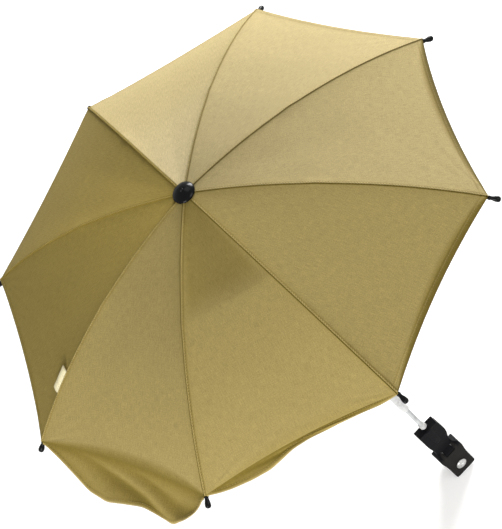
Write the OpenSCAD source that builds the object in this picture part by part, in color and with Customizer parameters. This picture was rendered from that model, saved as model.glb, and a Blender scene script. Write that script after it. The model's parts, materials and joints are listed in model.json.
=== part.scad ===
// Pram parasol: eight-rib folding canopy on a jointed mast with a tube clamp.
// Millimetres. The origin is the centre of the clamp's tube channel, which runs along X.
// +Z runs up the mast to the cap and -Y is the front of the clamp.

/* [Canopy] */
// Radius from the mast to the end of the cloth at a rib tip
canopy_r = 320; // [280:1:360]
// Height of the dome, from the rim up to the cloth at the rib hinges
canopy_rise = 114; // [100:1:120]
// Half of the angle through which a rib bends from hinge to tip, in degrees
rib_bow = 16.7; // [15:0.1:18]
// Height of the rim of the canopy above the clamped tube
rim_h = 624; // [560:1:700]
// How far the edge of a panel is drawn in between two tips
scallop = 8; // [0:0.5:12]
// Depth of the sun flap on the front left panel
sun_flap = 52; // [30:1:60]
// Depth of the narrow valance beside the sun flap
valance = 12; // [6:1:20]
// Slope of the sun flap below the horizontal, in degrees
flap_slope = 42; // [38:1:55]

/* [Ribs and stretchers] */
// Radius at which the ribs turn on the crown and the stretchers meet the runner
hinge_r = 8.5; // [8.5:0.1:9]
// Radius at which the stretchers are riveted into the ribs
joint_r = 152; // [140:1:160]
// Width of the channel section of a rib
rib_w = 3.0; // [2.9:0.1:3.2]
// Diameter of a stretcher rod
stretcher_d = 2.3; // [2:0.1:2.4]
// Diameter of the ball on a rib tip
tip_d = 7; // [6:0.2:8]

/* [Mast] */
// Outside diameter of the upper mast tube
mast_d = 8; // [8:0.1:8.2]
// Outside diameter of the lower mast rod
rod_d = 6.6; // [6:0.1:7]
// Diameter of the barrel of the tilt knuckle
knuckle_d = 11; // [10.8:0.1:12]
// Height of the pivot of the tilt knuckle above the clamped tube
knuckle_h = 172; // [170:1:200]
// Diameter of the cap on top of the canopy
cap_d = 28; // [26:1:32]

/* [Clamp] */
// Diameter of the tube that the clamp grips
tube_d = 20; // [18:0.5:20]
// Width of the jaws along the clamped tube
jaw_w = 34; // [33:1:38]
// Height of the top of the socket arm above the clamped tube
arm_h = 86; // [80:1:90]
// Drop of the jaws below the centre of the clamped tube
jaw_drop = 34; // [32:1:38]
// Diameter of the head of the clamp bolt
bolt_head_d = 15.5; // [12:0.5:17]

/* [Hidden] */
$fn = 72;
arc_fn = 360;
rib_count = 8;
rib_step = 360 / rib_count;
half_step = rib_step / 2;

// Colours
cloth_c = "#c8b47d";
black_c = "#1d1d20";
grey_c = "#3a3a3e";
steel_c = "#c9ccd1";
white_c = "#ececea";
label_c = "#efe6c4";

// Cloth
cloth_t = 0.9;
cloth_gap = 0.9;
seam_half_gap = 0.4;
cloth_in_r = 7;
rows = 12;
cols = 8;
flap_rows = 5;
flap_cols = 12;
flap_waves = 2.5;
wave_h = 5;
hem_wave = 3;
flap_corner = 3;
flap_inset = 0.02;

// Rib arc: the cloth's outer surface above a rib is one arc in the rib's plane,
// from above the hinge to the rim. A slope is the arc's angle below the horizontal.
chord_slope = atan(canopy_rise / (canopy_r - hinge_r));
chord_l = norm([canopy_r - hinge_r, canopy_rise]);
arc_rho = chord_l / (2 * sin(rib_bow));
slope_in = chord_slope - rib_bow;
slope_out = chord_slope + rib_bow;
arc_x = hinge_r - arc_rho * sin(slope_in);
arc_z = rim_h + canopy_rise - arc_rho * cos(slope_in);
slope_hole = asin((cloth_in_r - arc_x) / arc_rho);
arc_l = arc_rho * (slope_out - slope_hole) * PI / 180;

// Rib section, measured down from the top of the rib
rib_rho = arc_rho - cloth_t - cloth_gap;
rib_depth = 3.4;
rib_wall = 0.55;
roof_t = 0.5;
eye_r = 1.9;
eye_hole_r = 0.75;
blade_t = 1.6;
blade_l = 5.5;
rivet_r = 0.7;
rivet_depth = 2.1;
peg_r = 0.9;
peg_l = 5;
peg_root = 1;

// Rib hinge, rivet and runner, as radius and height in the rib's plane.
// The stretcher is as long as the rib's inner arm, so both stand at the same slope
// at every stage of the fold and the foot of the stretcher stays at hinge_r.
hinge_rho = rib_rho - eye_r;
hinge_z = arc_z + hinge_rho * cos(asin((hinge_r - arc_x) / hinge_rho));
rivet_rho = rib_rho - rivet_depth;
rivet_slope = asin((joint_r - arc_x) / rivet_rho);
joint_z = arc_z + rivet_rho * cos(rivet_slope);
arm_l = norm([joint_r - hinge_r, hinge_z - joint_z]);
arm_slope = atan((hinge_z - joint_z) / (joint_r - hinge_r));
runner_z = joint_z - arm_l * sin(arm_slope);
fold_deg = 68;
runner_travel = 2 * arm_l * (sin(arm_slope + fold_deg) - sin(arm_slope));

// Stretcher ends
foot_t = 1.4;
foot_h = 2.6;
foot_l = 12;
foot_eye_r = 1.4;

// Crown and runner
crown_r = 11;
crown_drop = 4;
crown_slot_w = 2.0;
crown_slot_in = 6.2;
ring_r = 0.6;
runner_r = 12;
runner_half_h = 4;
runner_slot_w = 2.6;
runner_slot_in = 6.4;
sleeve_r = 6;
sleeve_l = 26;
bead_r = 6.4;
runner_bore_r = mast_d / 2 + 0.2;
runner_low = runner_z - runner_half_h - sleeve_l;

// Mast
mast_r = mast_d / 2;
mast_wall = 0.7;
rod_r = rod_d / 2;
mast_foot = knuckle_h + 12;
cloth_top = rim_h + canopy_rise;
mast_top = cloth_top + 6;
stop_r = 5.6;
stop_h = 6;
stop_z = runner_low - runner_travel - 1 - stop_h;
spring_r = mast_r - mast_wall;
spring_t = 1.4;
slot_w = 2.2;
catch_reach = 6;
collar_r = 4.8;
collar_h = 14;
socket_depth = 34;
collar_seat = 4;

// Tilt knuckle
knuckle_r = knuckle_d / 2;
tongue_t = 4;
fork_gap = 4.3;
knuckle_clear = 0.3;
knuckle_low = knuckle_h - 28;
knuckle_top = knuckle_h + 32;
pin_r = 1.5;
pin_head_r = 2.6;
pin_head_t = 1.2;
button_r = 2.6;
button_travel = 1.1;

// Cap
cap_r = cap_d / 2;
cap_rise = 8.5;
cap_skirt = 2.2;
nub_r = 2.2;
washer_r = 9;
washer_t = 1;

// Clamp
tube_r = tube_d / 2;
pad_t = 1.2;
channel_r = tube_r + pad_t;
split = 0.8;
jaw_y = 14;
barrel_r = 9.5;
barrel_y = barrel_r - jaw_y;
barrel_z = 21.2;
jaw_corner = 4;
ear_w = 4.3;
ear_gap = 0.2;
ear_out = jaw_w / 2 - ear_w - ear_gap;
ear_in = ear_out - ear_w - ear_gap;
barrel_clear = 0.4;
pivot_r = 2.5;
pivot_head_r = 4.4;
pivot_head_t = 1.4;
bolt_r = 3;
bolt_hole_r = 3.3;
bolt_z = -15;
bolt_slot = 1.8;
bolt_end = 27;
knob_y = jaw_y + 0.3;
knob_h = 14;
knob_core_r = 10.5;
knob_lobe_r = 4;
knob_lobes = 5;

// Point on the cloth's outer arc, as radius and height, at share s from hole to rim
function arc_slope(s) = slope_hole + (slope_out - slope_hole) * s;
function arc_point(s) = [arc_x + arc_rho * sin(arc_slope(s)), arc_z + arc_rho * cos(arc_slope(s))];

// Share of the rib's length at which the panel ends, v across the panel from rib to rib
function edge_share(v) = 1 - scallop / arc_l * 4 * v * (1 - v);

// Share v moved in from the rib planes by the seam gap, at radius r
function inset(v, r) = let (m = seam_half_gap / (r * sin(rib_step))) m + (1 - 2 * m) * v;

// Point of the cloth in the panel's own frame, with the middle of the panel along +X
function cloth_point(s, v) =
    let (p = arc_point(s * edge_share(v)), w = inset(v, p[0]))
    [p[0] * cos(half_step), p[0] * sin(half_step) * (2 * w - 1), p[1]];

function cloth_normal(s) = [sin(arc_slope(s)), 0, cos(arc_slope(s))];

// Flap: depth across the panel, rounded at both corners, with a wavy hem and soft folds.
// Its sides stand in from the ribs, so that they clear the rib tips.
function flap_depth(v, depth) =
    depth * (1 - pow(abs(2 * v - 1), flap_corner)) + depth / sun_flap * hem_wave * sin(360 * flap_waves * v);
function flap_point(q, v, depth) =
    let (e = cloth_point(1, v + flap_inset * (1 - 2 * v) * min(q * flap_rows, 1)), d = q * max(flap_depth(v, depth), 0.4),
         lift = depth / sun_flap * wave_h * q * sin(360 * flap_waves * v + 60) * sin(180 * v))
    e + [d * cos(flap_slope) + lift * sin(flap_slope), 0, lift * cos(flap_slope) - d * sin(flap_slope)];

// Solid sheet between an upper and a lower grid of points, n rows by m columns of cells
module sheet(top, low, n, m) {
    w = m + 1;
    off = (n + 1) * w;
    cells = [for (i = [0:n - 1], j = [0:m - 1]) i * w + j];
    rim = concat(
        [for (j = [0:m - 1]) [j, j + 1]],
        [for (i = [0:n - 1]) [i * w + m, (i + 1) * w + m]],
        [for (j = [m:-1:1]) [n * w + j, n * w + j - 1]],
        [for (i = [n:-1:1]) [i * w, (i - 1) * w]]
    );
    polyhedron(
        points = concat(top, low),
        faces = concat(
            [for (c = cells) [c, c + w, c + w + 1]],
            [for (c = cells) [c, c + w + 1, c + 1]],
            [for (c = cells) [c + off, c + off + w + 1, c + off + w]],
            [for (c = cells) [c + off, c + off + 1, c + off + w + 1]],
            [for (e = rim) [e[0], e[1], e[1] + off]],
            [for (e = rim) [e[0], e[1] + off, e[0] + off]]
        ),
        convexity = 6
    );
}

// One cloth panel between rib k and the next, with a flap of the given depth
module panel(k, depth = 0) {
    m = depth > 0 ? flap_cols : cols;
    n = depth > 0 ? rows + flap_rows : rows;
    top = [for (i = [0:n], j = [0:m])
        i <= rows ? cloth_point(i / rows, j / m) : flap_point((i - rows) / flap_rows, j / m, depth)];
    low = [for (i = [0:n], j = [0:m])
        top[i * (m + 1) + j] - cloth_t * cloth_normal(min(i / rows, 1))];
    color(cloth_c) rotate([0, 0, (k - 0.5) * rib_step]) sheet(top, low, n, m);
}

// Places children in the plane of rib k, with radius along X and height along Z
module rib_plane(k) {
    rotate([0, 0, (k - 1) * rib_step]) children();
}

// Sweeps a section along an arc about the rib's centre, between two slopes.
// The section has the radius from the arc's centre along X and the width along Y.
module arc_sweep(from, to) {
    translate([arc_x, 0, arc_z]) rotate([90, 0, 0]) rotate([0, 0, 90 - to])
        rotate_extrude(angle = to - from, $fn = arc_fn) children();
}

// A pin or an eye across the rib's plane, at a radius and a height
module cross_disc(x, z, r, w) {
    translate([x, 0, z]) rotate([90, 0, 0]) cylinder(r = r, h = w, center = true, $fn = 36);
}

module rib_section(from, to, half_w) {
    translate([from, -half_w]) square([to - from, 2 * half_w]);
}

// Rib: flat blade with an eye at the crown, then a pressed channel that is open below,
// with the stretcher's rivet across it and a peg for the tip at its end
module rib(k) {
    hinge_slope = asin((hinge_r - arc_x) / hinge_rho);
    blade_end = hinge_slope + blade_l / rib_rho * 180 / PI;
    channel_end = slope_out - 2 / rib_rho * 180 / PI;
    low = rib_rho - rib_depth;
    peg_rho = rib_rho - rib_depth / 2;
    color(steel_c) rib_plane(k) difference() {
        union() {
            cross_disc(hinge_r, hinge_z, eye_r, blade_t);
            arc_sweep(hinge_slope, blade_end + 0.1) rib_section(low + 0.3, rib_rho - 0.1, blade_t / 2);
            difference() {
                arc_sweep(blade_end, channel_end) rib_section(low, rib_rho, rib_w / 2);
                arc_sweep(blade_end + 0.3, channel_end - 0.4)
                    rib_section(low - 1, rib_rho - roof_t, rib_w / 2 - rib_wall);
            }
            cross_disc(joint_r, joint_z, rivet_r, rib_w - 0.2);
            translate([arc_x + peg_rho * sin(channel_end), 0, arc_z + peg_rho * cos(channel_end)])
                rotate([0, 90 + channel_end, 0])
                    translate([0, 0, -peg_root]) cylinder(r = peg_r, h = peg_root + peg_l, $fn = 36);
        }
        cross_disc(hinge_r, hinge_z, eye_hole_r, 4);
    }
}

// Tip: a neck and a pear-shaped ball pressed on the peg of the rib
module tip(k) {
    channel_end = slope_out - 2 / rib_rho * 180 / PI;
    peg_rho = rib_rho - rib_depth / 2;
    ball_r = tip_d / 2;
    neck_r = 2;
    start = 2.8;
    ball_x = start + 9.4;
    color(black_c) rib_plane(k)
        translate([arc_x + peg_rho * sin(channel_end), 0, arc_z + peg_rho * cos(channel_end)])
            rotate([0, 90 + channel_end, 0])
                difference() {
                    union() {
                        translate([0, 0, start]) cylinder(r = neck_r + 0.3, h = 1.6);
                        translate([0, 0, start]) cylinder(r = neck_r, h = 5);
                        translate([0, 0, start + 4]) cylinder(r1 = neck_r, r2 = ball_r * 0.94, h = 4.2);
                        translate([0, 0, ball_x]) sphere(r = ball_r);
                    }
                    cylinder(r = peg_r, h = peg_l, $fn = 36);
                }
}

// Stretcher: a straight rod with flattened eyes at the rib's rivet and at the runner
module stretcher(k) {
    color(steel_c) rib_plane(k)
        translate([joint_r, 0, joint_z]) rotate([0, 180 - arm_slope, 0])
            difference() {
                union() {
                    translate([foot_l - 1, 0, 0]) rotate([0, 90, 0])
                        cylinder(r = stretcher_d / 2, h = arm_l - 2 * foot_l + 2);
                    for (x = [0, arm_l - foot_l])
                        translate([x, -foot_t / 2, -foot_h / 2]) cube([foot_l, foot_t, foot_h]);
                    cross_disc(0, 0, foot_eye_r, foot_t);
                    cross_disc(arm_l, 0, foot_eye_r, foot_t);
                }
                cross_disc(0, 0, eye_hole_r, 4);
                cross_disc(arm_l, 0, eye_hole_r, 4);
            }
}

// Radial slots, one for each rib, open at the top, the bottom and the outside
module radial_slots(width, from, low, high) {
    for (k = [1:rib_count])
        rib_plane(k) translate([from, -width / 2, low]) cube([20, width, high - low]);
}

// Crown: the notched head that holds the inner ends of the ribs
module crown() {
    top = hinge_z + eye_r - 0.2;
    color(black_c) difference() {
        union() {
            translate([0, 0, hinge_z - crown_drop]) cylinder(r = crown_r, h = top - hinge_z + crown_drop);
            translate([0, 0, hinge_z - crown_drop - 8]) cylinder(r = mast_r + 2, h = 9);
        }
        translate([0, 0, hinge_z - 20]) cylinder(r = mast_r, h = 40);
        radial_slots(crown_slot_w, crown_slot_in, hinge_z - crown_drop - 1, top + 1);
        translate([0, 0, hinge_z]) rotate_extrude() translate([hinge_r, 0]) circle(r = ring_r, $fn = 24);
    }
}

// Ring of wire through the eyes of all the ribs
module crown_ring() {
    color(steel_c) translate([0, 0, hinge_z])
        rotate_extrude() translate([hinge_r, 0]) circle(r = ring_r, $fn = 24);
}

// Runner: slotted head for the feet of the stretchers on a long sleeve with a thumb bead
module runner() {
    color(black_c) difference() {
        union() {
            translate([0, 0, runner_z - runner_half_h]) cylinder(r = runner_r, h = 2 * runner_half_h);
            translate([0, 0, runner_low]) cylinder(r = sleeve_r, h = sleeve_l + 1);
            for (z = [0, 3, 6])
                translate([0, 0, runner_low + z]) cylinder(r = bead_r, h = 1.6);
        }
        translate([0, 0, runner_low - 1]) cylinder(r = runner_bore_r, h = sleeve_l + 2 * runner_half_h + 2);
        radial_slots(runner_slot_w, runner_slot_in, runner_z - runner_half_h - 1, runner_z + runner_half_h + 1);
    }
}

// Upper mast tube, slotted for the nose of the runner catch
module upper_mast() {
    color(white_c) difference() {
        translate([0, 0, mast_foot]) cylinder(r = mast_r, h = mast_top - mast_foot);
        translate([0, 0, mast_foot - 1]) cylinder(r = spring_r, h = mast_top - mast_foot + 2);
        rotate([0, 0, half_step])
            translate([0, -slot_w / 2, runner_low - 22]) cube([mast_d, slot_w, 24]);
    }
}

// Runner catch: a leaf spring in the mast whose nose stands out under the open runner
module catch_spring() {
    foot_z = runner_low - 34;
    color(steel_c) {
        translate([0, 0, foot_z]) cylinder(r = spring_r, h = 6);
        rotate([0, 0, half_step]) rotate([90, 0, 0])
            linear_extrude(height = spring_t, center = true)
                polygon([[-0.6, foot_z + 5], [0.8, foot_z + 5], [0.8, runner_low - 18],
                         [catch_reach, runner_low - 3], [catch_reach, runner_low - 0.3],
                         [1.4, runner_low - 0.3], [1.4, runner_low - 1.6],
                         [4.2, runner_low - 1.9], [-0.6, runner_low - 16]]);
    }
}

// Stop ring on the mast that the runner meets when the canopy is folded
module lower_stop() {
    color(white_c) translate([0, 0, stop_z]) difference() {
        union() {
            cylinder(r = stop_r, h = stop_h - 1);
            cylinder(r1 = stop_r, r2 = stop_r - 1, h = stop_h);
        }
        translate([0, 0, -1]) cylinder(r = mast_r, h = stop_h + 2);
    }
}

// Upper half of the tilt knuckle: a fork below and a socket for the mast tube above
module knuckle_upper() {
    root = knuckle_h + knuckle_r + knuckle_clear;
    color(white_c) difference() {
        union() {
            translate([0, 0, knuckle_h]) cylinder(r = knuckle_r, h = knuckle_top - knuckle_h - 1.5);
            translate([0, 0, knuckle_top - 1.5])
                cylinder(r1 = knuckle_r, r2 = knuckle_r - 1, h = 1.5);
            intersection() {
                translate([0, 0, knuckle_h]) rotate([90, 0, 0])
                    cylinder(r = knuckle_r, h = knuckle_d, center = true);
                translate([0, 0, knuckle_h - knuckle_r]) cylinder(r = knuckle_r, h = knuckle_d);
            }
        }
        translate([-knuckle_d, -fork_gap / 2, knuckle_h - knuckle_d])
            cube([2 * knuckle_d, fork_gap, root - knuckle_h + knuckle_d]);
        translate([0, 0, mast_foot]) cylinder(r = mast_r, h = 40);
        cross_disc(0, knuckle_h, pin_r, 2 * knuckle_d);
        translate([0, knuckle_r - pin_head_t, knuckle_h]) rotate([-90, 0, 0])
            cylinder(r = pin_head_r, h = 5);
        translate([0, -knuckle_r + 1.8, knuckle_h]) rotate([90, 0, 0])
            cylinder(r = button_r + 0.15, h = 5);
    }
}

// Lower half of the tilt knuckle: a socket for the rod below and a tongue above
module knuckle_lower() {
    shoulder = knuckle_h - knuckle_r - knuckle_clear;
    color(white_c) difference() {
        union() {
            translate([0, 0, knuckle_low]) cylinder(r1 = knuckle_r - 1, r2 = knuckle_r, h = 1.5);
            translate([0, 0, knuckle_low + 1.5]) cylinder(r = knuckle_r, h = shoulder - knuckle_low - 1.5);
            intersection() {
                translate([-knuckle_r, -tongue_t / 2, shoulder - 1])
                    cube([knuckle_d, tongue_t, knuckle_h - shoulder + 1]);
                translate([0, 0, shoulder - 2]) cylinder(r = knuckle_r, h = 20);
            }
            cross_disc(0, knuckle_h, knuckle_r, tongue_t);
        }
        translate([0, 0, knuckle_low - 1]) cylinder(r = rod_r, h = 15);
        cross_disc(0, knuckle_h, pin_r + 0.05, 2 * knuckle_d);
    }
}

// Pivot pin of the tilt knuckle, with a flat head sunk in the rear prong
module knuckle_pin() {
    color(steel_c) translate([0, 0, knuckle_h]) rotate([-90, 0, 0]) {
        translate([0, 0, -3.6]) cylinder(r = pin_r, h = 3.6 + knuckle_r - pin_head_t);
        translate([0, 0, knuckle_r - pin_head_t]) cylinder(r = pin_head_r, h = pin_head_t - 0.4);
    }
}

// Press button that frees the knuckle, standing out of the front prong
module knuckle_button() {
    color(grey_c) translate([0, -knuckle_r + 0.6, knuckle_h]) rotate([90, 0, 0]) {
        cylinder(r = button_r, h = 1.2);
        translate([0, 0, 1.2]) cylinder(r1 = button_r, r2 = button_r - 0.5, h = 0.5);
    }
}

// Lower mast rod, from the socket arm up into the knuckle
module lower_mast() {
    color(white_c) translate([0, 0, arm_h - socket_depth])
        cylinder(r = rod_r, h = knuckle_low + 14 - arm_h + socket_depth);
}

// Collar on the rod, seated in the top of the socket arm
module mast_collar() {
    color(white_c) translate([0, 0, arm_h - collar_seat]) difference() {
        union() {
            cylinder(r = collar_r, h = collar_h - 1);
            cylinder(r = collar_r - 0.8, h = collar_h);
        }
        translate([0, 0, -1]) cylinder(r = rod_r, h = collar_h + 2);
    }
}

// Outline of the socket arm from the front: straight on the left, bowed on the right
module arm_outline() {
    bow_r = 106;
    intersection() {
        translate([-16, barrel_z]) square([36, arm_h - barrel_z]);
        translate([17.9 - bow_r, 66]) circle(r = bow_r, $fn = arc_fn);
    }
}

// Socket arm: a paddle with a socket boss for the mast, on a tongue that turns in the barrel
module socket_arm() {
    boss_r = 7.5;
    color(black_c) difference() {
        union() {
            difference() {
                intersection() {
                    rotate([90, 0, 0]) linear_extrude(height = 60, center = true) arm_outline();
                    rotate([90, 0, 90]) linear_extrude(height = 60, center = true)
                        polygon([[5, arm_h], [5, 54], [3, 33], [3, barrel_z], [-11, barrel_z],
                                 [-11, 40], [-9, 56], [-9, arm_h]]);
                }
                translate([0, barrel_y, barrel_z]) rotate([0, 90, 0])
                    cylinder(r = barrel_r + barrel_clear, h = 80, center = true);
            }
            translate([0, -3.5, arm_h - 33]) cylinder(r = boss_r, h = 33);
            translate([0, -3.5, arm_h - 33]) sphere(r = boss_r);
            translate([0, 0, arm_h - 1]) cylinder(r = collar_r + 1.6, h = 3);
            translate([0, barrel_y, barrel_z]) rotate([0, 90, 0])
                cylinder(r = barrel_r, h = 2 * ear_in - 2 * ear_gap, center = true);
            translate([-ear_in + ear_gap, -9, barrel_z]) cube([2 * ear_in - 2 * ear_gap, 10, 14]);
        }
        translate([0, 0, arm_h - socket_depth]) cylinder(r = rod_r, h = socket_depth + 10);
        translate([0, 0, arm_h - collar_seat]) cylinder(r = collar_r, h = 20);
        translate([0, barrel_y, barrel_z]) rotate([0, 90, 0])
            cylinder(r = pivot_r + 0.05, h = 80, center = true);
    }
}

// Pin through the barrel, with a low head at each end
module hinge_pin() {
    color(steel_c) translate([0, barrel_y, barrel_z]) rotate([0, 90, 0]) {
        cylinder(r = pivot_r, h = jaw_w, center = true);
        for (end = [0, 1]) mirror([0, 0, end])
            translate([0, 0, jaw_w / 2]) cylinder(r1 = pivot_head_r, r2 = pivot_head_r - 1, h = pivot_head_t);
    }
}

// Front view of a jaw: a plate with rounded lower corners, drawn in X and Z
module jaw_outline(top) {
    half = jaw_w / 2;
    translate([-half, jaw_corner - jaw_drop]) square([jaw_w, top + jaw_drop - jaw_corner]);
    translate([jaw_corner - half, -jaw_drop]) square([jaw_w - 2 * jaw_corner, 2 * jaw_corner]);
    for (x = [-1, 1])
        translate([x * (half - jaw_corner), jaw_corner - jaw_drop]) circle(r = jaw_corner);
}

// Two ears of the barrel, between the given distances from the middle
module barrel_ears(near, far) {
    for (side = [0, 1]) mirror([side, 0, 0])
        translate([near, barrel_y, barrel_z]) rotate([0, 90, 0]) cylinder(r = barrel_r, h = far - near);
}

module channel(r) {
    rotate([0, 90, 0]) cylinder(r = r, h = 80, center = true);
}

// Front jaw: a flat plate with half of the tube channel behind it and the inner ears on top
module front_jaw() {
    color(grey_c) difference() {
        union() {
            intersection() {
                rotate([90, 0, 0]) linear_extrude(height = 80, center = true) jaw_outline(barrel_z - 0.5);
                rotate([90, 0, 90]) linear_extrude(height = 80, center = true)
                    polygon([[-jaw_y, barrel_z], [-jaw_y, -jaw_drop], [-jaw_y + 5, -jaw_drop],
                             [-jaw_y + 6, bolt_z - 7], [-split - 3, bolt_z - 5], [-split, bolt_z - 3],
                             [-split, 10], [-jaw_y + 4, 10], [-jaw_y + 4, barrel_z]]);
            }
            barrel_ears(ear_in, ear_out - ear_gap);
            for (side = [0, 1]) mirror([side, 0, 0])
                translate([ear_in, -jaw_y, 8]) cube([ear_w, jaw_y + barrel_y, barrel_z - 8]);
        }
        channel(channel_r);
        for (z = [bolt_z, bolt_z - bolt_slot])
            translate([0, 0, z]) rotate([90, 0, 0]) cylinder(r = bolt_hole_r, h = 80, center = true);
        translate([-bolt_hole_r, -40, bolt_z - bolt_slot]) cube([2 * bolt_hole_r, 80, bolt_slot]);
        translate([0, barrel_y, barrel_z]) rotate([0, 90, 0]) {
            cylinder(r = barrel_r + barrel_clear, h = 2 * ear_in, center = true);
            cylinder(r = pivot_r + 0.05, h = 80, center = true);
            for (side = [0, 1]) mirror([0, 0, side])
                translate([0, 0, ear_out - ear_gap]) cylinder(r = barrel_r + barrel_clear, h = 20);
        }
    }
}

// Rear jaw: the other half of the channel, the outer ears and the seat of the knob
module rear_jaw() {
    color(black_c) difference() {
        union() {
            intersection() {
                rotate([90, 0, 0]) linear_extrude(height = 80, center = true) jaw_outline(18);
                rotate([90, 0, 90]) linear_extrude(height = 80, center = true)
                    polygon([[split, 15], [7, 17], [11, 14], [jaw_y, 6], [jaw_y, bolt_z - 9],
                             [jaw_y - 6, -jaw_drop], [jaw_y - 11, -jaw_drop], [split, bolt_z - 3]]);
            }
            barrel_ears(ear_out, jaw_w / 2);
            for (side = [0, 1]) mirror([side, 0, 0])
                translate([ear_out, barrel_y, 11]) cube([ear_w + ear_gap, barrel_r, barrel_z - 11]);
        }
        channel(channel_r);
        translate([0, 0, bolt_z]) rotate([90, 0, 0]) cylinder(r = bolt_hole_r, h = 80, center = true);
        translate([0, barrel_y, barrel_z]) rotate([0, 90, 0]) {
            cylinder(r = barrel_r + barrel_clear, h = 2 * ear_out, center = true);
            cylinder(r = pivot_r, h = 80, center = true);
        }
    }
}

// Rubber liner of half of the tube channel, with the side of the split given by 1 or -1
module pad(side) {
    color(grey_c) difference() {
        rotate([0, 90, 0]) cylinder(r = channel_r, h = jaw_w - 1, center = true);
        channel(tube_r);
        translate([-40, side > 0 ? split - 80 : -split, -40]) cube([80, 80, 80]);
    }
}

// Clamp bolt: a low domed head on the front jaw and a shank back through both jaws
module clamp_bolt() {
    head_r = bolt_head_d / 2;
    dome_rho = (head_r * head_r + 4) / 4;
    color(steel_c) translate([0, 0, bolt_z]) rotate([90, 0, 0]) {
        translate([0, 0, -bolt_end]) cylinder(r = bolt_r, h = bolt_end + jaw_y);
        translate([0, 0, jaw_y]) cylinder(r = head_r, h = 1.2);
        translate([0, 0, jaw_y + 1.2]) intersection() {
            cylinder(r = head_r, h = 5);
            translate([0, 0, 2 - dome_rho]) sphere(r = dome_rho, $fn = 120);
        }
    }
}

// Knob: five lobes round a hub that screws on the bolt behind the rear jaw
module clamp_knob() {
    color(black_c) translate([0, knob_y, bolt_z]) rotate([-90, 0, 0]) difference() {
        union() {
            cylinder(r = 7, h = 4);
            translate([0, 0, 3]) linear_extrude(height = knob_h - 3) {
                circle(r = knob_core_r);
                for (i = [0:knob_lobes - 1])
                    rotate(i * 360 / knob_lobes) translate([knob_core_r - 0.5, 0]) circle(r = knob_lobe_r);
            }
            translate([0, 0, knob_h]) cylinder(r1 = knob_core_r - 2, r2 = 6, h = 2);
        }
        translate([0, 0, -1]) cylinder(r = bolt_r + 0.05, h = knob_h + 10);
    }
}

// Washer that spreads the cap's grip on the cloth
module cap_washer() {
    color(black_c) translate([0, 0, cloth_top + 0.3]) difference() {
        cylinder(r = washer_r, h = washer_t);
        translate([0, 0, -1]) cylinder(r = mast_r, h = 4);
    }
}

// Cap: a low dome with a small nub, pressed on the top of the mast
module top_cap() {
    base = cloth_top + 0.4;
    dome_rho = (cap_r * cap_r + pow(cap_rise - cap_skirt, 2)) / (2 * (cap_rise - cap_skirt));
    color(black_c) difference() {
        union() {
            translate([0, 0, base]) cylinder(r = cap_r, h = cap_skirt);
            intersection() {
                translate([0, 0, base]) cylinder(r = cap_r, h = 20);
                translate([0, 0, base + cap_rise - dome_rho]) sphere(r = dome_rho, $fn = 120);
            }
            translate([0, 0, base + cap_rise - 0.6]) cylinder(r1 = nub_r, r2 = nub_r - 0.6, h = 1.6);
        }
        translate([0, 0, base - 1]) cylinder(r = washer_r, h = 0.9 + washer_t);
        translate([0, 0, base - 1]) cylinder(r = mast_r, h = mast_top - base + 1);
    }
}

// Side label: a bare folded tag sewn into the seam of rib 5, lying on the cloth
module side_label() {
    label_l = 31;
    label_w = 7;
    label_t = 0.6;
    label_share = 0.76;
    p = arc_point(label_share);
    slope = arc_slope(label_share);
    color(label_c) rotate([0, 0, 4 * rib_step])
        translate([p[0], 0, p[1]]) rotate([0, slope, 0]) rotate([-9, 0, 0])
            translate([-label_l / 2, -label_w - 0.4, 0.75]) cube([label_l, label_w, label_t]);
}

rear_jaw();
pad(1);  // rear_pad
hinge_pin();
front_jaw();
pad(-1);  // front_pad
clamp_bolt();
clamp_knob();
socket_arm();
mast_collar();
lower_mast();
knuckle_lower();
knuckle_upper();
knuckle_pin();
knuckle_button();
upper_mast();
lower_stop();
catch_spring();
runner();
crown();
crown_ring();
cap_washer();
top_cap();
side_label();
rib(1);  // rib_1
rib(2);  // rib_2
rib(3);  // rib_3
rib(4);  // rib_4
rib(5);  // rib_5
rib(6);  // rib_6
rib(7);  // rib_7
rib(8);  // rib_8
tip(1);  // tip_1
tip(2);  // tip_2
tip(3);  // tip_3
tip(4);  // tip_4
tip(5);  // tip_5
tip(6);  // tip_6
tip(7);  // tip_7
tip(8);  // tip_8
stretcher(1);  // stretcher_1
stretcher(2);  // stretcher_2
stretcher(3);  // stretcher_3
stretcher(4);  // stretcher_4
stretcher(5);  // stretcher_5
stretcher(6);  // stretcher_6
stretcher(7);  // stretcher_7
stretcher(8);  // stretcher_8
panel(1);  // panel_1
panel(2);  // panel_2
panel(3);  // panel_3
panel(4);  // panel_4
panel(5, sun_flap);  // panel_5
panel(6, valance);  // panel_6
panel(7);  // panel_7
panel(8);  // panel_8
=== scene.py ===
# %% [markdown]
# # A pram parasol, built up round its CAD frame
# A pram parasol is a small umbrella on a jointed mast with a clamp for the pram's tube. Its cloth is
# cut as eight wedges, sewn together along the ribs, hemmed round the edge and stretched over the
# ribs, so nearly everything that shows is cloth. The frame under it comes from CAD. This lesson adds
# what CAD leaves plain: the stretched cloth with its seams, the sun flap, and every finish.

# %% Load the frame
import json
import math

import bmesh
import bpy
import numpy as np
from mathutils import Matrix, Vector

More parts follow.
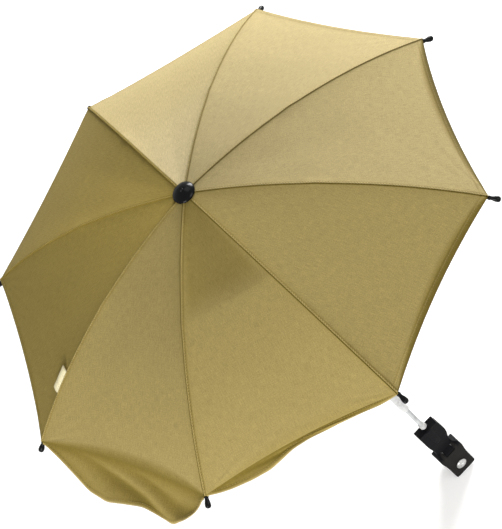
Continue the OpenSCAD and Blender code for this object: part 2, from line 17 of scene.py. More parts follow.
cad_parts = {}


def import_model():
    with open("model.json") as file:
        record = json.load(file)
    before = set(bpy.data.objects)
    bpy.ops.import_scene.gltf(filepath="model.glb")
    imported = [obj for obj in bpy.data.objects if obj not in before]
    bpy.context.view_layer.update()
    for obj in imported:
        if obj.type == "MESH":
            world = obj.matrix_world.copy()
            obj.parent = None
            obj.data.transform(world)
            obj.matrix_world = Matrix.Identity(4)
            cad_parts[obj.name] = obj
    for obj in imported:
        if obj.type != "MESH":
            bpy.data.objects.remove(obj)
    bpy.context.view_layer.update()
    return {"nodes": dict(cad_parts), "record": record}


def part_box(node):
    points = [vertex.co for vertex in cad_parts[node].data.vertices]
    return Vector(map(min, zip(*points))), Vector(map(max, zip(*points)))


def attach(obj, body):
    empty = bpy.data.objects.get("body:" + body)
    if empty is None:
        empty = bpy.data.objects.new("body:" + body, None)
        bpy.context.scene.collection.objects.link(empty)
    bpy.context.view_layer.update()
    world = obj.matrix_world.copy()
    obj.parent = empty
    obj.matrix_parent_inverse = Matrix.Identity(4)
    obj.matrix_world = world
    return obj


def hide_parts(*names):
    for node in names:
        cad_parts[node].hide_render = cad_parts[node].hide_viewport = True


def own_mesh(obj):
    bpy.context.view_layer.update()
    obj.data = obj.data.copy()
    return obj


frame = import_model()

# %% [markdown]
# ## The camera first
# The photograph looks down on the canopy from far away, so the ribs hardly converge. Its place was
# found by setting the eight rib tips, the cap and the clamp against the picture. It is written as a
# turn of the object in front of the camera, and the camera's own place is that turn undone.

# %% The photograph's camera
MM = 0.001
RIM_Z = 624 * MM                       # height of the cloth's rim above the clamped tube
UNIT = 320 * MM                        # the canopy's radius, the unit of the fit
TURN = (-40.29, 0.63, 46.55)           # degrees about the view's x, y and z
SHIFT = np.array((-0.0675, 0.0885, -9.010))   # the rim's middle as the camera sees it, in units
PHOTO = (502, 529)                     # pixels
FOCAL_PX = 2500.0
SENSOR = 36.0                          # mm
NEAREST, FARTHEST = 0.01, 50           # metres, between which the camera sees


def placed(name, data):
    """A new object in the scene that holds the given data."""
    made = bpy.data.objects.new(name, data)
    bpy.context.scene.collection.objects.link(made)
    return made


def turn(axis, degrees):
    """Rotation matrix: a turn by an angle about one axis, 0 for x, 1 for y and 2 for z."""
    return np.array(Matrix.Rotation(math.radians(degrees), 3, "XYZ"[axis]))


view = turn(2, TURN[2]) @ turn(1, TURN[1]) @ turn(0, TURN[0])
lens = bpy.data.cameras.new("camera")
camera = placed("camera", lens)
stand = Matrix(view.T.tolist()).to_4x4()
stand.translation = Vector((-view.T @ SHIFT * UNIT + np.array((0, 0, RIM_Z))).tolist())
camera.matrix_world = stand
lens.sensor_width, lens.lens = SENSOR, FOCAL_PX / max(PHOTO) * SENSOR
lens.clip_start, lens.clip_end = NEAREST, FARTHEST
bpy.context.scene.camera = camera
print("camera at", np.round(stand.translation, 3), "lens", round(lens.lens, 1), "mm")

# %% [markdown]
# ## Light and background
# The picture is a cut-out on white, lit by big soft lamps. One strong area lamp, three weaker ones and
# a pale world give the same play from panel to panel. White is only shown to the camera and in
# reflections: the world lights the object with a weaker grey, so that a colour renders about as written.

# %% World
scene = bpy.context.scene
scene.view_settings.view_transform = "Standard"
WORLD_LIGHT = 0.1
WHITE = (1, 1, 1, 1)


def looked_at(tree):
    """A grey value that is 1 where a camera, mirror or glass ray looks, and 0 for the rays of light."""
    path = tree.nodes.new("ShaderNodeLightPath")
    seen = path.outputs["Is Camera Ray"]
    for name in ("Is Glossy Ray", "Is Transmission Ray"):
        larger = tree.nodes.new("ShaderNodeMath")
        larger.operation = "MAXIMUM"
        tree.links.new(seen, larger.inputs[0])
        tree.links.new(path.outputs[name], larger.inputs[1])
        seen = larger.outputs[0]
    return seen


world = bpy.data.worlds.new("studio")
scene.world = world
world.use_nodes = True
sky = world.node_tree
weak = sky.nodes["Background"]
white = sky.nodes.new("ShaderNodeBackground")
for shader, strength in ((weak, WORLD_LIGHT), (white, 1.0)):
    shader.inputs["Color"].default_value = WHITE
    shader.inputs["Strength"].default_value = strength
either = sky.nodes.new("ShaderNodeMixShader")
for source, target in ((looked_at(sky), 0), (weak.outputs[0], 1), (white.outputs[0], 2)):
    sky.links.new(source, either.inputs[target])
sky.links.new(either.outputs[0], sky.nodes["World Output"].inputs["Surface"])
print("world nodes", len(sky.nodes))

# %% Lamps
LAMP_AWAY = 2.2                        # metres from the middle of the rim
LAMPS = [
    # name, azimuth and elevation in degrees, watts, side in metres
    ("key", 36, 13, 84, 0.9),
    ("back", 222, 10, 44, 1.0),
    ("front", 300, 32, 17, 1.2),
    ("top", 20, 58, 8, 1.2),
]


def lamp(name, azimuth, elevation, watts, size):
    """A square area lamp at an azimuth and elevation about the canopy, turned to face it."""
    a, e = math.radians(azimuth), math.radians(elevation)
    data = bpy.data.lights.new(name, "AREA")
    data.energy, data.size = watts, size
    made = placed(name, data)
    way = Vector((math.cos(a) * math.cos(e), math.sin(a) * math.cos(e), math.sin(e)))
    made.location = way * LAMP_AWAY + Vector((0, 0, RIM_Z))
    made.rotation_euler = way.to_track_quat("Z", "Y").to_euler()


for row in LAMPS:
    lamp(*row)
print("lamps", [row[0] for row in LAMPS], "watts in all", sum(row[3] for row in LAMPS))

# %% [markdown]
# ## The numbers that the CAD part is drawn from
# The cloth above a rib is one arc in the rib's plane. The same few numbers are repeated here, because
# the lesson can't read the CAD source, and the heights of one node's box are printed beside them.

# %% The rib's arc
CANOPY_R, RISE = 320 * MM, 114 * MM    # radius of the rim, and the crown's height above it
BOW = 16.7                             # degrees between the arc's chord and its ends
HINGE_R, HOLE_R = 8.5 * MM, 7 * MM     # radius of the ribs' hinges and of the hole in the cloth
RIBS = 8
STEP = math.tau / RIBS
HALF = STEP / 2
chord = math.atan(RISE / (CANOPY_R - HINGE_R))
ARC = math.hypot(CANOPY_R - HINGE_R, RISE) / (2 * math.sin(math.radians(BOW)))
SLOPE_IN, SLOPE_OUT = chord - math.radians(BOW), chord + math.radians(BOW)
ARC_X = HINGE_R - ARC * math.sin(SLOPE_IN)
ARC_Z = RIM_Z + RISE - ARC * math.cos(SLOPE_IN)
SLOPE_HOLE = math.asin((HOLE_R - ARC_X) / ARC)
LENGTH = ARC * (SLOPE_OUT - SLOPE_HOLE)


def arc(s):
    """Radius, height and slope of the cloth above a rib, at share s of its length: a circle's arc."""
    slope = SLOPE_HOLE + (SLOPE_OUT - SLOPE_HOLE) * s
    return ARC_X + ARC * np.sin(slope), ARC_Z + ARC * np.cos(slope), slope


def share_at(radius):
    """The share of the rib's length at which the arc has a radius."""
    return (math.asin((radius - ARC_X) / ARC) - SLOPE_HOLE) / (SLOPE_OUT - SLOPE_HOLE)


def half_width(s):
    """Half of the straight line from rib to rib, at share s."""
    return arc(s)[0] * math.sin(HALF)


RIM_W = 2 * half_width(1.0)
low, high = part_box("panel_3")
print("cloth length", round(LENGTH, 4), "rim", RIM_Z, "width between tips", round(RIM_W, 4))
print("panel_3 from", round(low.z, 4), "to", round(high.z, 4))

# %% [markdown]
# ## Finishes
# Each finish is one material, named for what it is on the parasol. An image could be wrapped round
# each piece, but noise and waves worked out by nodes stay sharp at any distance and need no file.
# Numbers that are the same all over a surface stand on the shader itself.

# %% Material helpers


def material(name, **values):
    """A material with a Principled shader, whose named inputs are set to plain values."""
    made = bpy.data.materials.new(name)
    made.use_nodes = True
    shader = made.node_tree.nodes["Principled BSDF"]
    for key, value in values.items():
        shader.inputs[key.replace("_", " ")].default_value = value
    return made, made.node_tree, shader


def node(tree, kind, links=(), **values):
    """A node of a kind with its settings and its in_ values, linked from the given outputs."""
    made = tree.nodes.new("ShaderNode" + kind)
    for key, value in values.items():
        if key.startswith("in_"):
            made.inputs[key[3:].replace("_", " ")].default_value = value
        else:
            setattr(made, key, value)
    for source, target in links:
        tree.links.new(source, made.inputs[target])
    return made


def noise(tree, where, scale, detail):
    """Grey noise of a scale over a place."""
    return node(tree, "TexNoise", [(where, "Vector")], in_Scale=scale, in_Detail=detail).outputs[0]


def between(tree, first, second, share):
    """A grey value between two others: the first where share is 0, the second where it is 1."""
    made = node(tree, "Mix", [(first, 2), (second, 3)], data_type="FLOAT")
    made.inputs[0].default_value = share
    return made.outputs[0]


def combined(tree, operation, first, second):
    """Two grey values put together by a sum or a product."""
    return node(tree, "Math", [(first, 0), (second, 1)], operation=operation).outputs[0]


def rescaled(tree, source, span, onto, **settings):
    """A grey value whose span is stretched onto another span."""
    made = node(tree, "MapRange", [(source, "Value")], **settings)
    for key, value in zip(("From Min", "From Max", "To Min", "To Max"), (*span, *onto)):
        made.inputs[key].default_value = value
    return made.outputs[0]


def ramp(tree, source, *stops):
    """A colour ramp over a grey value: (place, colour) for each stop, from the lowest to the highest."""
    made = node(tree, "ValToRGB", [(source, "Fac")])
    ends = made.color_ramp.elements
    for end, (place, colour) in zip(ends, (stops[0], stops[-1])):
        end.position, end.color = place, (*colour, 1)
    for place, colour in stops[1:-1]:
        ends.new(place).color = (*colour, 1)
    return made.outputs[0]


def shade(colour, factor):
    """The colour made brighter or darker by a factor."""
    return tuple(c * factor for c in colour)


def relief_from(tree, shader, height, strength, depth):
    """Gives the shader a relief from a grey value."""
    made = node(tree, "Bump", [(height, "Height")], in_Strength=strength, in_Distance=depth)
    tree.links.new(made.outputs[0], shader.inputs["Normal"])


# %% [markdown]
# ## Cloth and thread
# The cloth is a plain-woven cotton: threads of uneven thickness run both ways. The pattern has to
# follow the cut of each panel, so it reads a UV map in metres and not the place in space. A tone and
# a paleness come with each point: painted light and shade for the panels, seams, folds and rolled rim, and a
# painted sheen that washes out the lit panels.

# %% Cloth, label and thread
SAND = (0.434, 0.333, 0.114)
CREAM = (0.94, 0.85, 0.54)
SHEEN_TINT = (1.0, 0.94, 0.78, 1)
WAVE_UNIT = math.tau / 20              # the scale at which a Wave node has one band a metre
# patches of noise a metre: drawn out along either thread, then broad and fine
WARP, WEFT, CLOUDS, SPECKS = (1500, 95, 1), (95, 1500, 1), (30, 42, 1), (760, 900, 1)


def toned(tree, colour, *more):
    """The colour with its brightness multiplied by the point's tone, its painted light and shade."""
    tone = node(tree, "Attribute", attribute_name="tone").outputs["Fac"]
    return node(tree, "HueSaturation", [(colour, "Color"), (tone, "Value"), *more]).outputs[0]


def woven(name, colour, pitch, depth, sheen):
    """Plain weave: two crossing waves one thread wide for the relief, and noise drawn out along each
    thread direction for thick and thin places, with a little cloudy and a little speckled noise."""
    made, tree, shader = material(name, Roughness=0.8, Specular_IOR_Level=0.02)
    shader.inputs["Sheen Weight"].default_value = sheen
    shader.inputs["Sheen Roughness"].default_value = 0.38
    shader.inputs["Sheen Tint"].default_value = SHEEN_TINT
    uv = node(tree, "UVMap", uv_map="weave").outputs[0]
    kinds = []
    for scale in (WARP, WEFT, CLOUDS, SPECKS):
        stretched = node(tree, "Mapping", [(uv, "Vector")], in_Scale=scale).outputs[0]
        kinds.append(noise(tree, stretched, 1.0, 2.0))
    warp, weft, clouds, specks = kinds
    slub = between(tree, warp, weft, 0.4)
    mixed = between(tree, between(tree, slub, clouds, 0.06), specks, 0.4)
    dyed = ramp(tree, mixed, (0.34, shade(colour, 0.72)), (0.5, colour), (0.66, shade(colour, 1.28)))
    # pale carries a painted sheen that takes colour out; toned brings in the painted light and shade
    pale = node(tree, "Attribute", attribute_name="pale").outputs["Fac"]
    fullness = node(tree, "Math", [(pale, 1)], operation="SUBTRACT")
    fullness.inputs[0].default_value = 1.0
    tree.links.new(toned(tree, dyed, (fullness.outputs[0], "Saturation")), shader.inputs["Base Color"])
    waves = [
        node(tree, "TexWave", [(uv, "Vector")], bands_direction=way, in_Scale=WAVE_UNIT / pitch).outputs[1]
        for way in "XY"
    ]
    crossing = combined(tree, "MULTIPLY", *waves)
    relief_from(tree, shader, combined(tree, "ADD", crossing, slub), 0.55, depth)
    return made


def twisted(name, colour):
    """Sewing thread: fine diagonal bands in object space, a little lighter than the cloth."""
    made, tree, shader = material(name, Roughness=0.5)
    place = node(tree, "TexCoord").outputs["Object"]
    twist = node(tree, "TexWave", [(place, "Vector")], bands_direction="DIAGONAL", in_Scale=700.0)
    bands = ramp(tree, twist.outputs[1], (0.2, shade(colour, 0.85)), (0.8, shade(colour, 1.3)))
    tree.links.new(toned(tree, bands), shader.inputs["Base Color"])
    return made


cloth = woven("sand_cotton", SAND, 0.6 * MM, 0.22 * MM, 0.07)
label_cloth = woven("cream_ribbon", CREAM, 0.45 * MM, 0.12 * MM, 0.0)
thread = twisted("sand_thread", SAND)
print("nodes in the cloth", len(cloth.node_tree.nodes), "in the thread", len(thread.node_tree.nodes))

# %% [markdown]
# ## Plastics and metals
# Moulded plastic has a fine grain from its mould and soft patches where the skin is duller. Drawn or
# plated metal has fine lines along it. A single roughness would make both look like paint, so the
# roughness follows a broad noise, and the grain is a relief.

# %% Plastics and metals


def moulded(name, colour, roughness, grain, strength, coat=0.0, gloss=0.5, speckle=0.0):
    """Moulded plastic: a fine grain in the relief and, by speckle, in the colour, and soft patches of
    rougher and smoother skin."""
    made, tree, shader = material(name, Roughness=roughness, Specular_IOR_Level=gloss)
    shader.inputs["Coat Weight"].default_value = coat
    shader.inputs["Coat Roughness"].default_value = 0.08
    place = node(tree, "TexCoord").outputs["Object"]
    fine, broad = noise(tree, place, grain, 3.0), noise(tree, place, 55.0, 4.0)
    dark, light = shade(colour, 0.75 - 0.5 * speckle), shade(colour, 1.25 + speckle)
    colours = ramp(tree, between(tree, broad, fine, speckle), (0.32, dark), (0.68, light))
    tree.links.new(colours, shader.inputs["Base Color"])
    skin = rescaled(tree, broad, (0.3, 0.7), (roughness * 0.85, min(1.0, roughness * 1.2)))
    tree.links.new(skin, shader.inputs["Roughness"])
    relief_from(tree, shader, fine, strength, 0.15 * MM)
    return made


def drawn_metal(name, colour, roughness, stretch):
    """Drawn or plated metal: fine lines from stretched noise, with duller patches."""
    made, tree, shader = material(name, Metallic=1.0)
    place = node(tree, "TexCoord").outputs["Object"]
    fine = noise(tree, node(tree, "Mapping", [(place, "Vector")], in_Scale=stretch).outputs[0], 1.0, 4.0)
    broad = noise(tree, place, 70.0, 3.0)
    tree.links.new(ramp(tree, broad, (0.3, shade(colour, 0.86)), (0.7, colour)), shader.inputs["Base Color"])
    lines = combined(tree, "MULTIPLY", fine, broad)
    skin = rescaled(tree, lines, (0.1, 0.45), (roughness * 0.7, roughness * 1.5))
    tree.links.new(skin, shader.inputs["Roughness"])
    relief_from(tree, shader, fine, 0.12, 0.05 * MM)
    return made


gloss_black = moulded("gloss_black_plastic", (0.002, 0.002, 0.0025), 0.35, 900.0, 0.03, coat=0.18, gloss=0.02)
GRAINED = {"gloss": 0.05, "speckle": 0.5}
matt_black = moulded("grained_black_plastic", (0.0045, 0.0045, 0.0055), 0.5, 900.0, 0.6, **GRAINED)
dark_grey = moulded("grained_grey_plastic", (0.0135, 0.0125, 0.0115), 0.55, 900.0, 0.6, **GRAINED)
soft_white = moulded("moulded_white", (0.63, 0.63, 0.62), 0.3, 1500.0, 0.08, gloss=0.3)
enamel = moulded("white_enamel", (0.57, 0.58, 0.585), 0.25, 500.0, 0.1, gloss=0.3)
black_rubber = moulded("black_rubber", (0.035, 0.035, 0.038), 0.75, 1800.0, 0.5)
steel = drawn_metal("plated_steel", (0.72, 0.73, 0.75), 0.24, (900, 900, 40))
bolt_steel = drawn_metal("polished_steel", (0.50, 0.50, 0.49), 0.3, (900, 60, 900))
print("materials", len(bpy.data.materials))

# %% [markdown]
# ## The stretched cloth
# On the real parasol eight wedges of cotton are sewn into one cover, and the ribs pull it tight. It
# could be one mesh, but the cover has to fold with the ribs. So it is cut half way between the ribs,
# where nothing is sewn: each gore holds a rib with its seam and half a panel on either side, and rides on
# that rib. At rest the gores meet in one even surface.
# Between two ribs the cloth is a straight line that sinks a little, because a tight sheet that is
# curved one way curves the other way too. Wrinkles, the crease at the stretcher joints and the rolled
# hem are added to that as small moves along the normal.

# %% Rim and hem
SCALLOP = 8 * MM                       # how far the rim is drawn in between two tips
HEM_W = 8 * MM
HEM_EDGE = 0.7 * MM                    # over this width the hem's inner edge steps down
FLAPPED = (5, 6)                       # the panels whose edge goes on into a flap, so it has no hem
ROLL_W = 14 * MM
ROLL = {1: 0.2, 2: 0.5, 3: 0.25, 4: 0.3, 5: 0.45, 6: 0.2, 7: 0.6, 8: 0.7}   # how far each rim rolls under


def smooth(x):
    """0 below 0, 1 above 1, and an even S between: 3x2 - 2x3."""
    x = np.clip(x, 0, 1)
    return x * x * (3 - 2 * x)


def bump(x, centre, width):
    """A bell: the Gauss curve about a centre."""
    return np.exp(-(((x - centre) / width) ** 2))


def edge_share(v):
    """The edge of a panel drawn in between its tips, as a parabola in v, the place from rib to rib."""
    return 1 - SCALLOP / LENGTH * 4 * v * (1 - v)


def hem_step(away):
    """1 on the hem and 0 inside it, by the distance from the rim."""
    return smooth((HEM_W - away) / HEM_EDGE)


def roll_width(v):
    """How far in from the rim the cloth begins to roll under: widest past the middle of the panel."""
    v = np.clip(v, 0, 1)
    return ROLL_W * np.sqrt(np.sin(math.pi * v)) * (0.4 + 0.6 * v) + 1e-6


print("rim drawn in to", round(float(edge_share(0.5)), 4), "of a rib")
print("roll in the middle", round(float(roll_width(0.5)) / MM, 1), "mm wide")

# %% How far the cloth stands off
JOINT_R = 152 * MM                     # radius at which the stretchers are riveted to the ribs
PANEL_SAG = 3.4 * MM
SLACK_PANEL, SLACK = 6, 4.6 * MM       # the panel whose inner triangle hangs slack, and how deep
CREASE = 0.9 * MM                      # ridge over the joint of a stretcher
PUCKER, PUCKERS = 0.5 * MM, 20         # folds that fan out from a tip: height, and how close they lie
RIPPLE = 0.1 * MM                      # cloth gathered by the seam's stitches
WAVE = 0.45 * MM                       # a loose unevenness over the whole panel
HEM_H, GROOVE = 0.18 * MM, 0.14 * MM   # how far a hem stands up, and how deep its stitches press


def sag(k, s, v, radius):
    """How far panel k sinks under the straight line from rib to rib: most in the middle, by a sine
    along the rib. The slack panel sinks by a cubic more, 6.75 u2 (1 - u), out to the stretchers."""
    middle = 4 * v * (1 - v)
    h = -PANEL_SAG * middle**0.85 * np.sin(math.pi * np.clip(0.96 * s, 0, 1))
    if k == SLACK_PANEL:
        u = np.clip(radius / JOINT_R, 0, 1)
        h = h - SLACK * 6.75 * u**2 * (1 - u) * np.maximum(middle, 0) ** 0.5
    return h


def wrinkles(k, s, t, v, radius):
    """A low ridge over the stretcher's joint, puckers that fan out from the tip as a sine of the angle,
    ripples along the seam, and waves over the panel, a product of two slanting sines."""
    away = (1 - s) * LENGTH
    reach, angle = np.hypot(t, away), np.arctan2(t, away + 1e-6)
    h = CREASE * bump(radius, JOINT_R, 9 * MM) * bump(t, 0, 7 * MM)
    fan = smooth(reach / (18 * MM)) * np.exp(-reach / (40 * MM)) * smooth(angle * 3)
    h = h + PUCKER * np.sin(PUCKERS * angle + k) * fan
    h = h + RIPPLE * np.sin(away / MM * 0.72 + 1.7 * k) * np.exp(-t / (6 * MM)) * smooth(t / MM)
    waves = np.sin(math.tau * (1.3 * v + 2.1 * s + 0.37 * k))
    waves = waves * np.sin(math.tau * (1.7 * s - 0.8 * v + 0.21 * k))
    return h + WAVE * waves * 4 * v * (1 - v) * np.sin(math.pi * np.clip(s, 0, 1))


def rim_shape(k, s, v):
    """The rim rolls under by a parabola. A hem stands up by a step, with a groove under its stitches."""
    away = (1 - s) * LENGTH
    h = -ROLL[k] * 0.6 * np.maximum(roll_width(v) - away, 0) ** 2 / roll_width(v)
    if k not in FLAPPED:
        h = h + HEM_H * hem_step(away) - GROOVE * bump(away, 6.6 * MM, 0.6 * MM)
    return h


def relief(k, s, t, v, radius):
    """How far the cloth of panel k stands off the straight line from rib to rib, t from the nearer rib."""
    return sag(k, s, v, radius) + wrinkles(k, s, t, v, radius) + rim_shape(k, s, v)


down = np.linspace(0, 1, 99)
stands_off = relief(1, down, half_width(down), 0.5, arc(down)[0])
print("the middle of panel 1 sinks by up to", round(-stands_off.min() / MM, 1), "mm")

# %% A point of the cover
SEAM_ROUND = 7 * MM                    # over this width the cloth's lean changes from panel to panel


def before(k):
    """The panel or rib before number k."""
    return (k - 2) % RIBS + 1


def turned(points, angle):
    """Points turned about Z."""
    c, s = np.cos(angle), np.sin(angle)
    x, y, z = points[..., 0], points[..., 1], points[..., 2]
    return np.stack([x * c - y * s, x * s + y * c, z], -1)


def cloth_at(k, s, t, lift=0.0):
    """Point of the cover at share s along rib k and t metres across it, towards the next rib where t
    is positive, raised by lift. In the panel's own frame, with r the arc's radius there and v the share
    of the way across, it is (r cos, r sin (1 - 2v)), with sine and cosine of half the angle between
    ribs, moved by the relief along the arc's normal, which leans over to that of the rib by the seam."""
    s, t = np.broadcast_arrays(np.asarray(s, float), np.asarray(t, float))
    out = np.zeros(s.shape + (3,))
    for side in (1, -1):
        here = t >= 0 if side > 0 else t < 0
        if not here.any():
            continue
        ss, tt = s[here], np.abs(t[here])
        v = np.clip(tt / (2 * half_width(ss)), 0, 0.5)
        radius, height, slope = arc(ss * edge_share(v))
        y = radius * math.sin(HALF) * (1 - 2 * v) * -side
        panel = k if side > 0 else before(k)
        h = relief(panel, ss, tt, v if side > 0 else 1 - v, radius) + (lift[here] if np.ndim(lift) else lift)
        lean = side * HALF * smooth(tt / SEAM_ROUND) - side * HALF
        base = np.stack([radius * math.cos(HALF), y, height], -1)
        push = np.stack([np.sin(slope) * np.cos(lean), np.sin(slope) * np.sin(lean), np.cos(slope)], -1)
        out[here] = turned(base + push * h[..., None], (k - 1) * STEP + side * HALF)
    return out


print("the cover ends above rib 1 at", np.round(cloth_at(1, 1.0, 0.0), 4).tolist())

# %% [markdown]
# ## From arrays to meshes
# A surface is a grid of points worked out at once by numpy. A cloth gets an inner side at a fixed
# depth under its outer side and a narrow wall round the edge, so that it is a closed body. Solidify
# would do it too, but it can't give the hem its own thickness. The edge of the wall is marked sharp,
# or the shading of the flat side would bend towards it.

# %% Grids and meshes


def grid_faces(rows, cols, wrap=False):
    """Four corner numbers for each cell of a grid of rows x cols points."""
    j = np.arange(cols if wrap else cols - 1)
    i = np.arange(rows - 1)[:, None]
    a, b = i * cols + j, i * cols + (j + 1) % cols
    return np.stack([a, b, b + cols, a + cols], -1).reshape(-1, 4)


def mesh_piece(name, points, faces, material, uv=None, **attributes):
    """A mesh object of quads from numpy arrays, smooth shaded. Each attribute is one number a point,
    which the material reads: tone is the painted light and shade beside the plain cloth, pale how far a
    painted sheen washes the colour out."""
    data = bpy.data.meshes.new(name)
    points, faces = np.asarray(points, np.float32), np.asarray(faces, np.int32)
    data.vertices.add(len(points))
    data.vertices.foreach_set("co", points.ravel())
    data.loops.add(faces.size)
    data.loops.foreach_set("vertex_index", faces.ravel())
    data.polygons.add(len(faces))
    data.polygons.foreach_set("loop_start", np.arange(0, faces.size, faces.shape[1], dtype=np.int32))
    data.polygons.foreach_set("use_smooth", np.ones(len(faces), bool))
    data.update(calc_edges=True)
    if uv is not None:
        layer = data.uv_layers.new(name="weave")
        layer.data.foreach_set("uv", np.asarray(uv, np.float32)[faces.ravel()].ravel())
    for kind, values in attributes.items():
        data.attributes.new(kind, "FLOAT", "POINT").data.foreach_set("value", np.asarray(values, np.float32))
    data.materials.append(material)
    data.validate()
    return placed(name, data)


def mark_sharp(obj, ring):
    """Marks the edges between neighbours in each ring of point numbers as sharp."""
    data = obj.data
    ends = np.zeros(len(data.edges) * 2, np.int32)
    data.edges.foreach_get("vertices", ends)
    count = len(data.vertices)
    low, high = np.sort(ends.reshape(-1, 2), axis=1).astype(np.int64).T
    pairs = np.sort(np.stack([ring, np.roll(ring, -1, axis=-1)], -1).reshape(-1, 2), axis=1).astype(np.int64)
    flag = data.attributes.get("sharp_edge") or data.attributes.new("sharp_edge", "BOOLEAN", "EDGE")
    flag.data.foreach_set("value", np.isin(low * count + high, pairs[:, 0] * count + pairs[:, 1]))


print("a grid of 3 x 4 points has", len(grid_faces(3, 4)), "cells")

# %% Closed cloth
INNER_TONE = 0.82                      # the underside of a cloth lies in the shade of the canopy


def normals_of(points):
    """Unit normals of a grid of points: the cross product of its two directions, rows first."""
    n = np.cross(np.gradient(points, axis=0), np.gradient(points, axis=1))
    return n / np.maximum(np.linalg.norm(n, axis=-1, keepdims=True), 1e-12)


def edge_loop(rows, cols):
    """The numbers of a grid's outer points, once round."""
    top = np.arange(cols)
    right = np.arange(1, rows) * cols + cols - 1
    bottom = (rows - 1) * cols + np.arange(cols - 2, -1, -1)
    left = np.arange(rows - 2, 0, -1) * cols
    return np.concatenate([top, right, bottom, left])


def cloth_shell(name, outer, thick, material, uv, tone, pale=0.0):
    """A closed cloth: the outer grid, the same grid moved in by thick, and a wall round the edge."""
    rows, cols = outer.shape[:2]
    inner = outer - normals_of(outer) * (thick[..., None] if np.ndim(thick) else thick)
    faces = grid_faces(rows, cols)[:, ::-1]
    off = rows * cols
    ring = edge_loop(rows, cols)
    nxt = np.roll(ring, -1)
    wall = np.stack([ring, nxt, nxt + off, ring + off], -1)
    tone, pale = (np.broadcast_to(values, (rows, cols)).ravel() for values in (tone, pale))
    made = mesh_piece(
        name,
        np.concatenate([outer.reshape(-1, 3), inner.reshape(-1, 3)]),
        np.concatenate([faces, faces[:, ::-1] + off, wall]),
        material,
        np.concatenate([uv.reshape(-1, 2), uv.reshape(-1, 2)]),
        tone=np.concatenate([tone, np.full_like(tone, INNER_TONE)]),
        pale=np.concatenate([pale, pale]),
    )
    mark_sharp(made, np.stack([ring, ring + off]))
    return made


print("the edge of such a grid has", len(edge_loop(3, 4)), "points")

# %% [markdown]
# ## The gores and the painted light and shade on their cloth
# Each panel gets its own painted light or shade for how the light falls on it, and a painted sheen
# washes out the lit ones. Painted shade lies in lines along the seams, beside them, at the hem's inner edge
# and on the rim where it rolls under. Painting all that would need an image. Here each point of the gore gets
# its tone from the same two numbers as its place.

# %% Tone of the cloth
SEAM_W = 2.2 * MM
PANEL_LIGHT = {1: 0.99, 2: 1.16, 3: 0.90, 4: 1.05, 5: 1.03, 6: 0.98, 7: 1.0, 8: 1.0}       # painted light or shade on each panel, for how the light falls on it
PAINTED_SHEEN = {1: 0.20, 2: 0.19, 3: -0.09, 4: -0.09, 5: 0.03, 6: 0.02, 7: 0.03, 8: 0.16}    # and the painted sheen that washes out a lit panel, or fuller colour in a shaded one
ROLL_SHADE = {1: 0.15, 2: 0.35, 3: 0.2, 4: 0.2, 5: 0.5, 6: 0.1, 7: 0.6, 8: 0.78}   # painted shade on each panel's rolled rim
HEMMED = {k: k not in FLAPPED for k in PANEL_LIGHT}
SHADED = {SLACK_PANEL: 0.24}           # the inner triangle that lies in its own shade
CROWN_LIGHT = {2: 0.36}                      # the panel with painted light towards the crown
SEAM_SHADE_IN = {1: 0.6, 2: 0.6, 3: 0.7, 4: 0.5, 5: 0.5, 6: 0.7, 7: 0.5, 8: 0.65}     # painted shade in the lines along the seam, at the crown
SEAM_SHADE_OUT = {1: 0.25, 2: 0.2, 3: 0.5, 4: 0.5, 5: 0.5, 6: 0.7, 7: 0.8, 8: 0.8}    # and at the rim
DEEPER = 0.3                           # how much fuller the colour gets where painted shade darkens the cloth


def by_panel(values, k, t):
    """The value of the panel that a point of gore k lies in: panel k, or the one before where t < 0."""
    return np.where(np.asarray(t) >= 0, values.get(k, 0), values.get(before(k), 0))


def seam_scale(s):
    """The seam gets narrower where half a gore is narrower than the seam."""
    return np.minimum(1, 0.5 * half_width(s) / SEAM_W)


def cloth_tone(k, s, t):
    """The panel's painted light or shade, darker by painted shade: bells across two lines along the seam,
    beside the seam, at the hem's inner edge and where the rim rolls under, times painted shade and light."""
    away = (1 - s) * LENGTH
    scale = seam_scale(s)
    seam_shade = SEAM_SHADE_IN[k] + (SEAM_SHADE_OUT[k] - SEAM_SHADE_IN[k]) * s
    # painted shade in two lines along the seam
    lines = seam_shade * bump(t, -0.75 * MM * scale, 0.85 * MM) + 0.3 * seam_shade * bump(t, 2.5 * MM * scale, 0.6 * MM)
    # painted shade in a soft band beside the seam
    soft = 0.08 * np.exp(-np.abs(t - 0.8 * MM) / (6 * MM))
    v = np.abs(t) / (2 * half_width(s))
    v = np.where(t >= 0, v, 1 - v)
    # painted shade where the rim rolls under
    under = by_panel(ROLL_SHADE, k, t) * smooth(1 - away / (1.7 * roll_width(v))) ** 0.8
    # painted shade at the hem's inner edge
    hem = by_panel(HEMMED, k, t) * 0.14 * bump(away, 8.3 * MM, 0.8 * MM)
    inside = smooth((1.08 * JOINT_R - arc(s)[0]) / (45 * MM)) * smooth(v * 8) * smooth((1 - v) * 8)
    # painted shade on the slack panel's inner triangle, painted light towards the crown
    light = 1 - by_panel(SHADED, k, t) * inside + by_panel(CROWN_LIGHT, k, t) * np.clip(1 - s / 0.62, 0, 1)
    return by_panel(PANEL_LIGHT, k, t) * (1 - lines - soft - hem - under) * light


tones = [round(float(cloth_tone(5, 0.5, t)), 2) for t in (0.0, 50 * MM)]
print("tone of panel 5 half way down, on the seam and 50 mm off it", tones)

# %% The eight gores
CLOTH_T = 0.5 * MM
HEM_T = 0.45 * MM                      # what the folded edge adds
MAP_STEP = 0.37                        # metres; each panel's weave starts that much further on
INNER_ROWS, EVEN_COLUMNS = 108, 24     # of the grid, away from the rim and away from the seam
RIM_ZONE = 19 * MM                     # where the inner rows end
# rows by the rim and columns by the seam, in mm from it
RIM_ROWS = [0, 0.35, 0.9, 1.8, 3, 4.2, 5.2, 5.9, 6.4, 6.9, 7.5, 8.0, 8.5, 9.2, 10.2, 11.6, 13.5, 16]
SEAM_COLUMNS = [0, 0.35, 0.7, 1.05, 1.4, 1.9, 2.3, 2.7, 3.1, 3.8, 5.2, 7.2, 10]


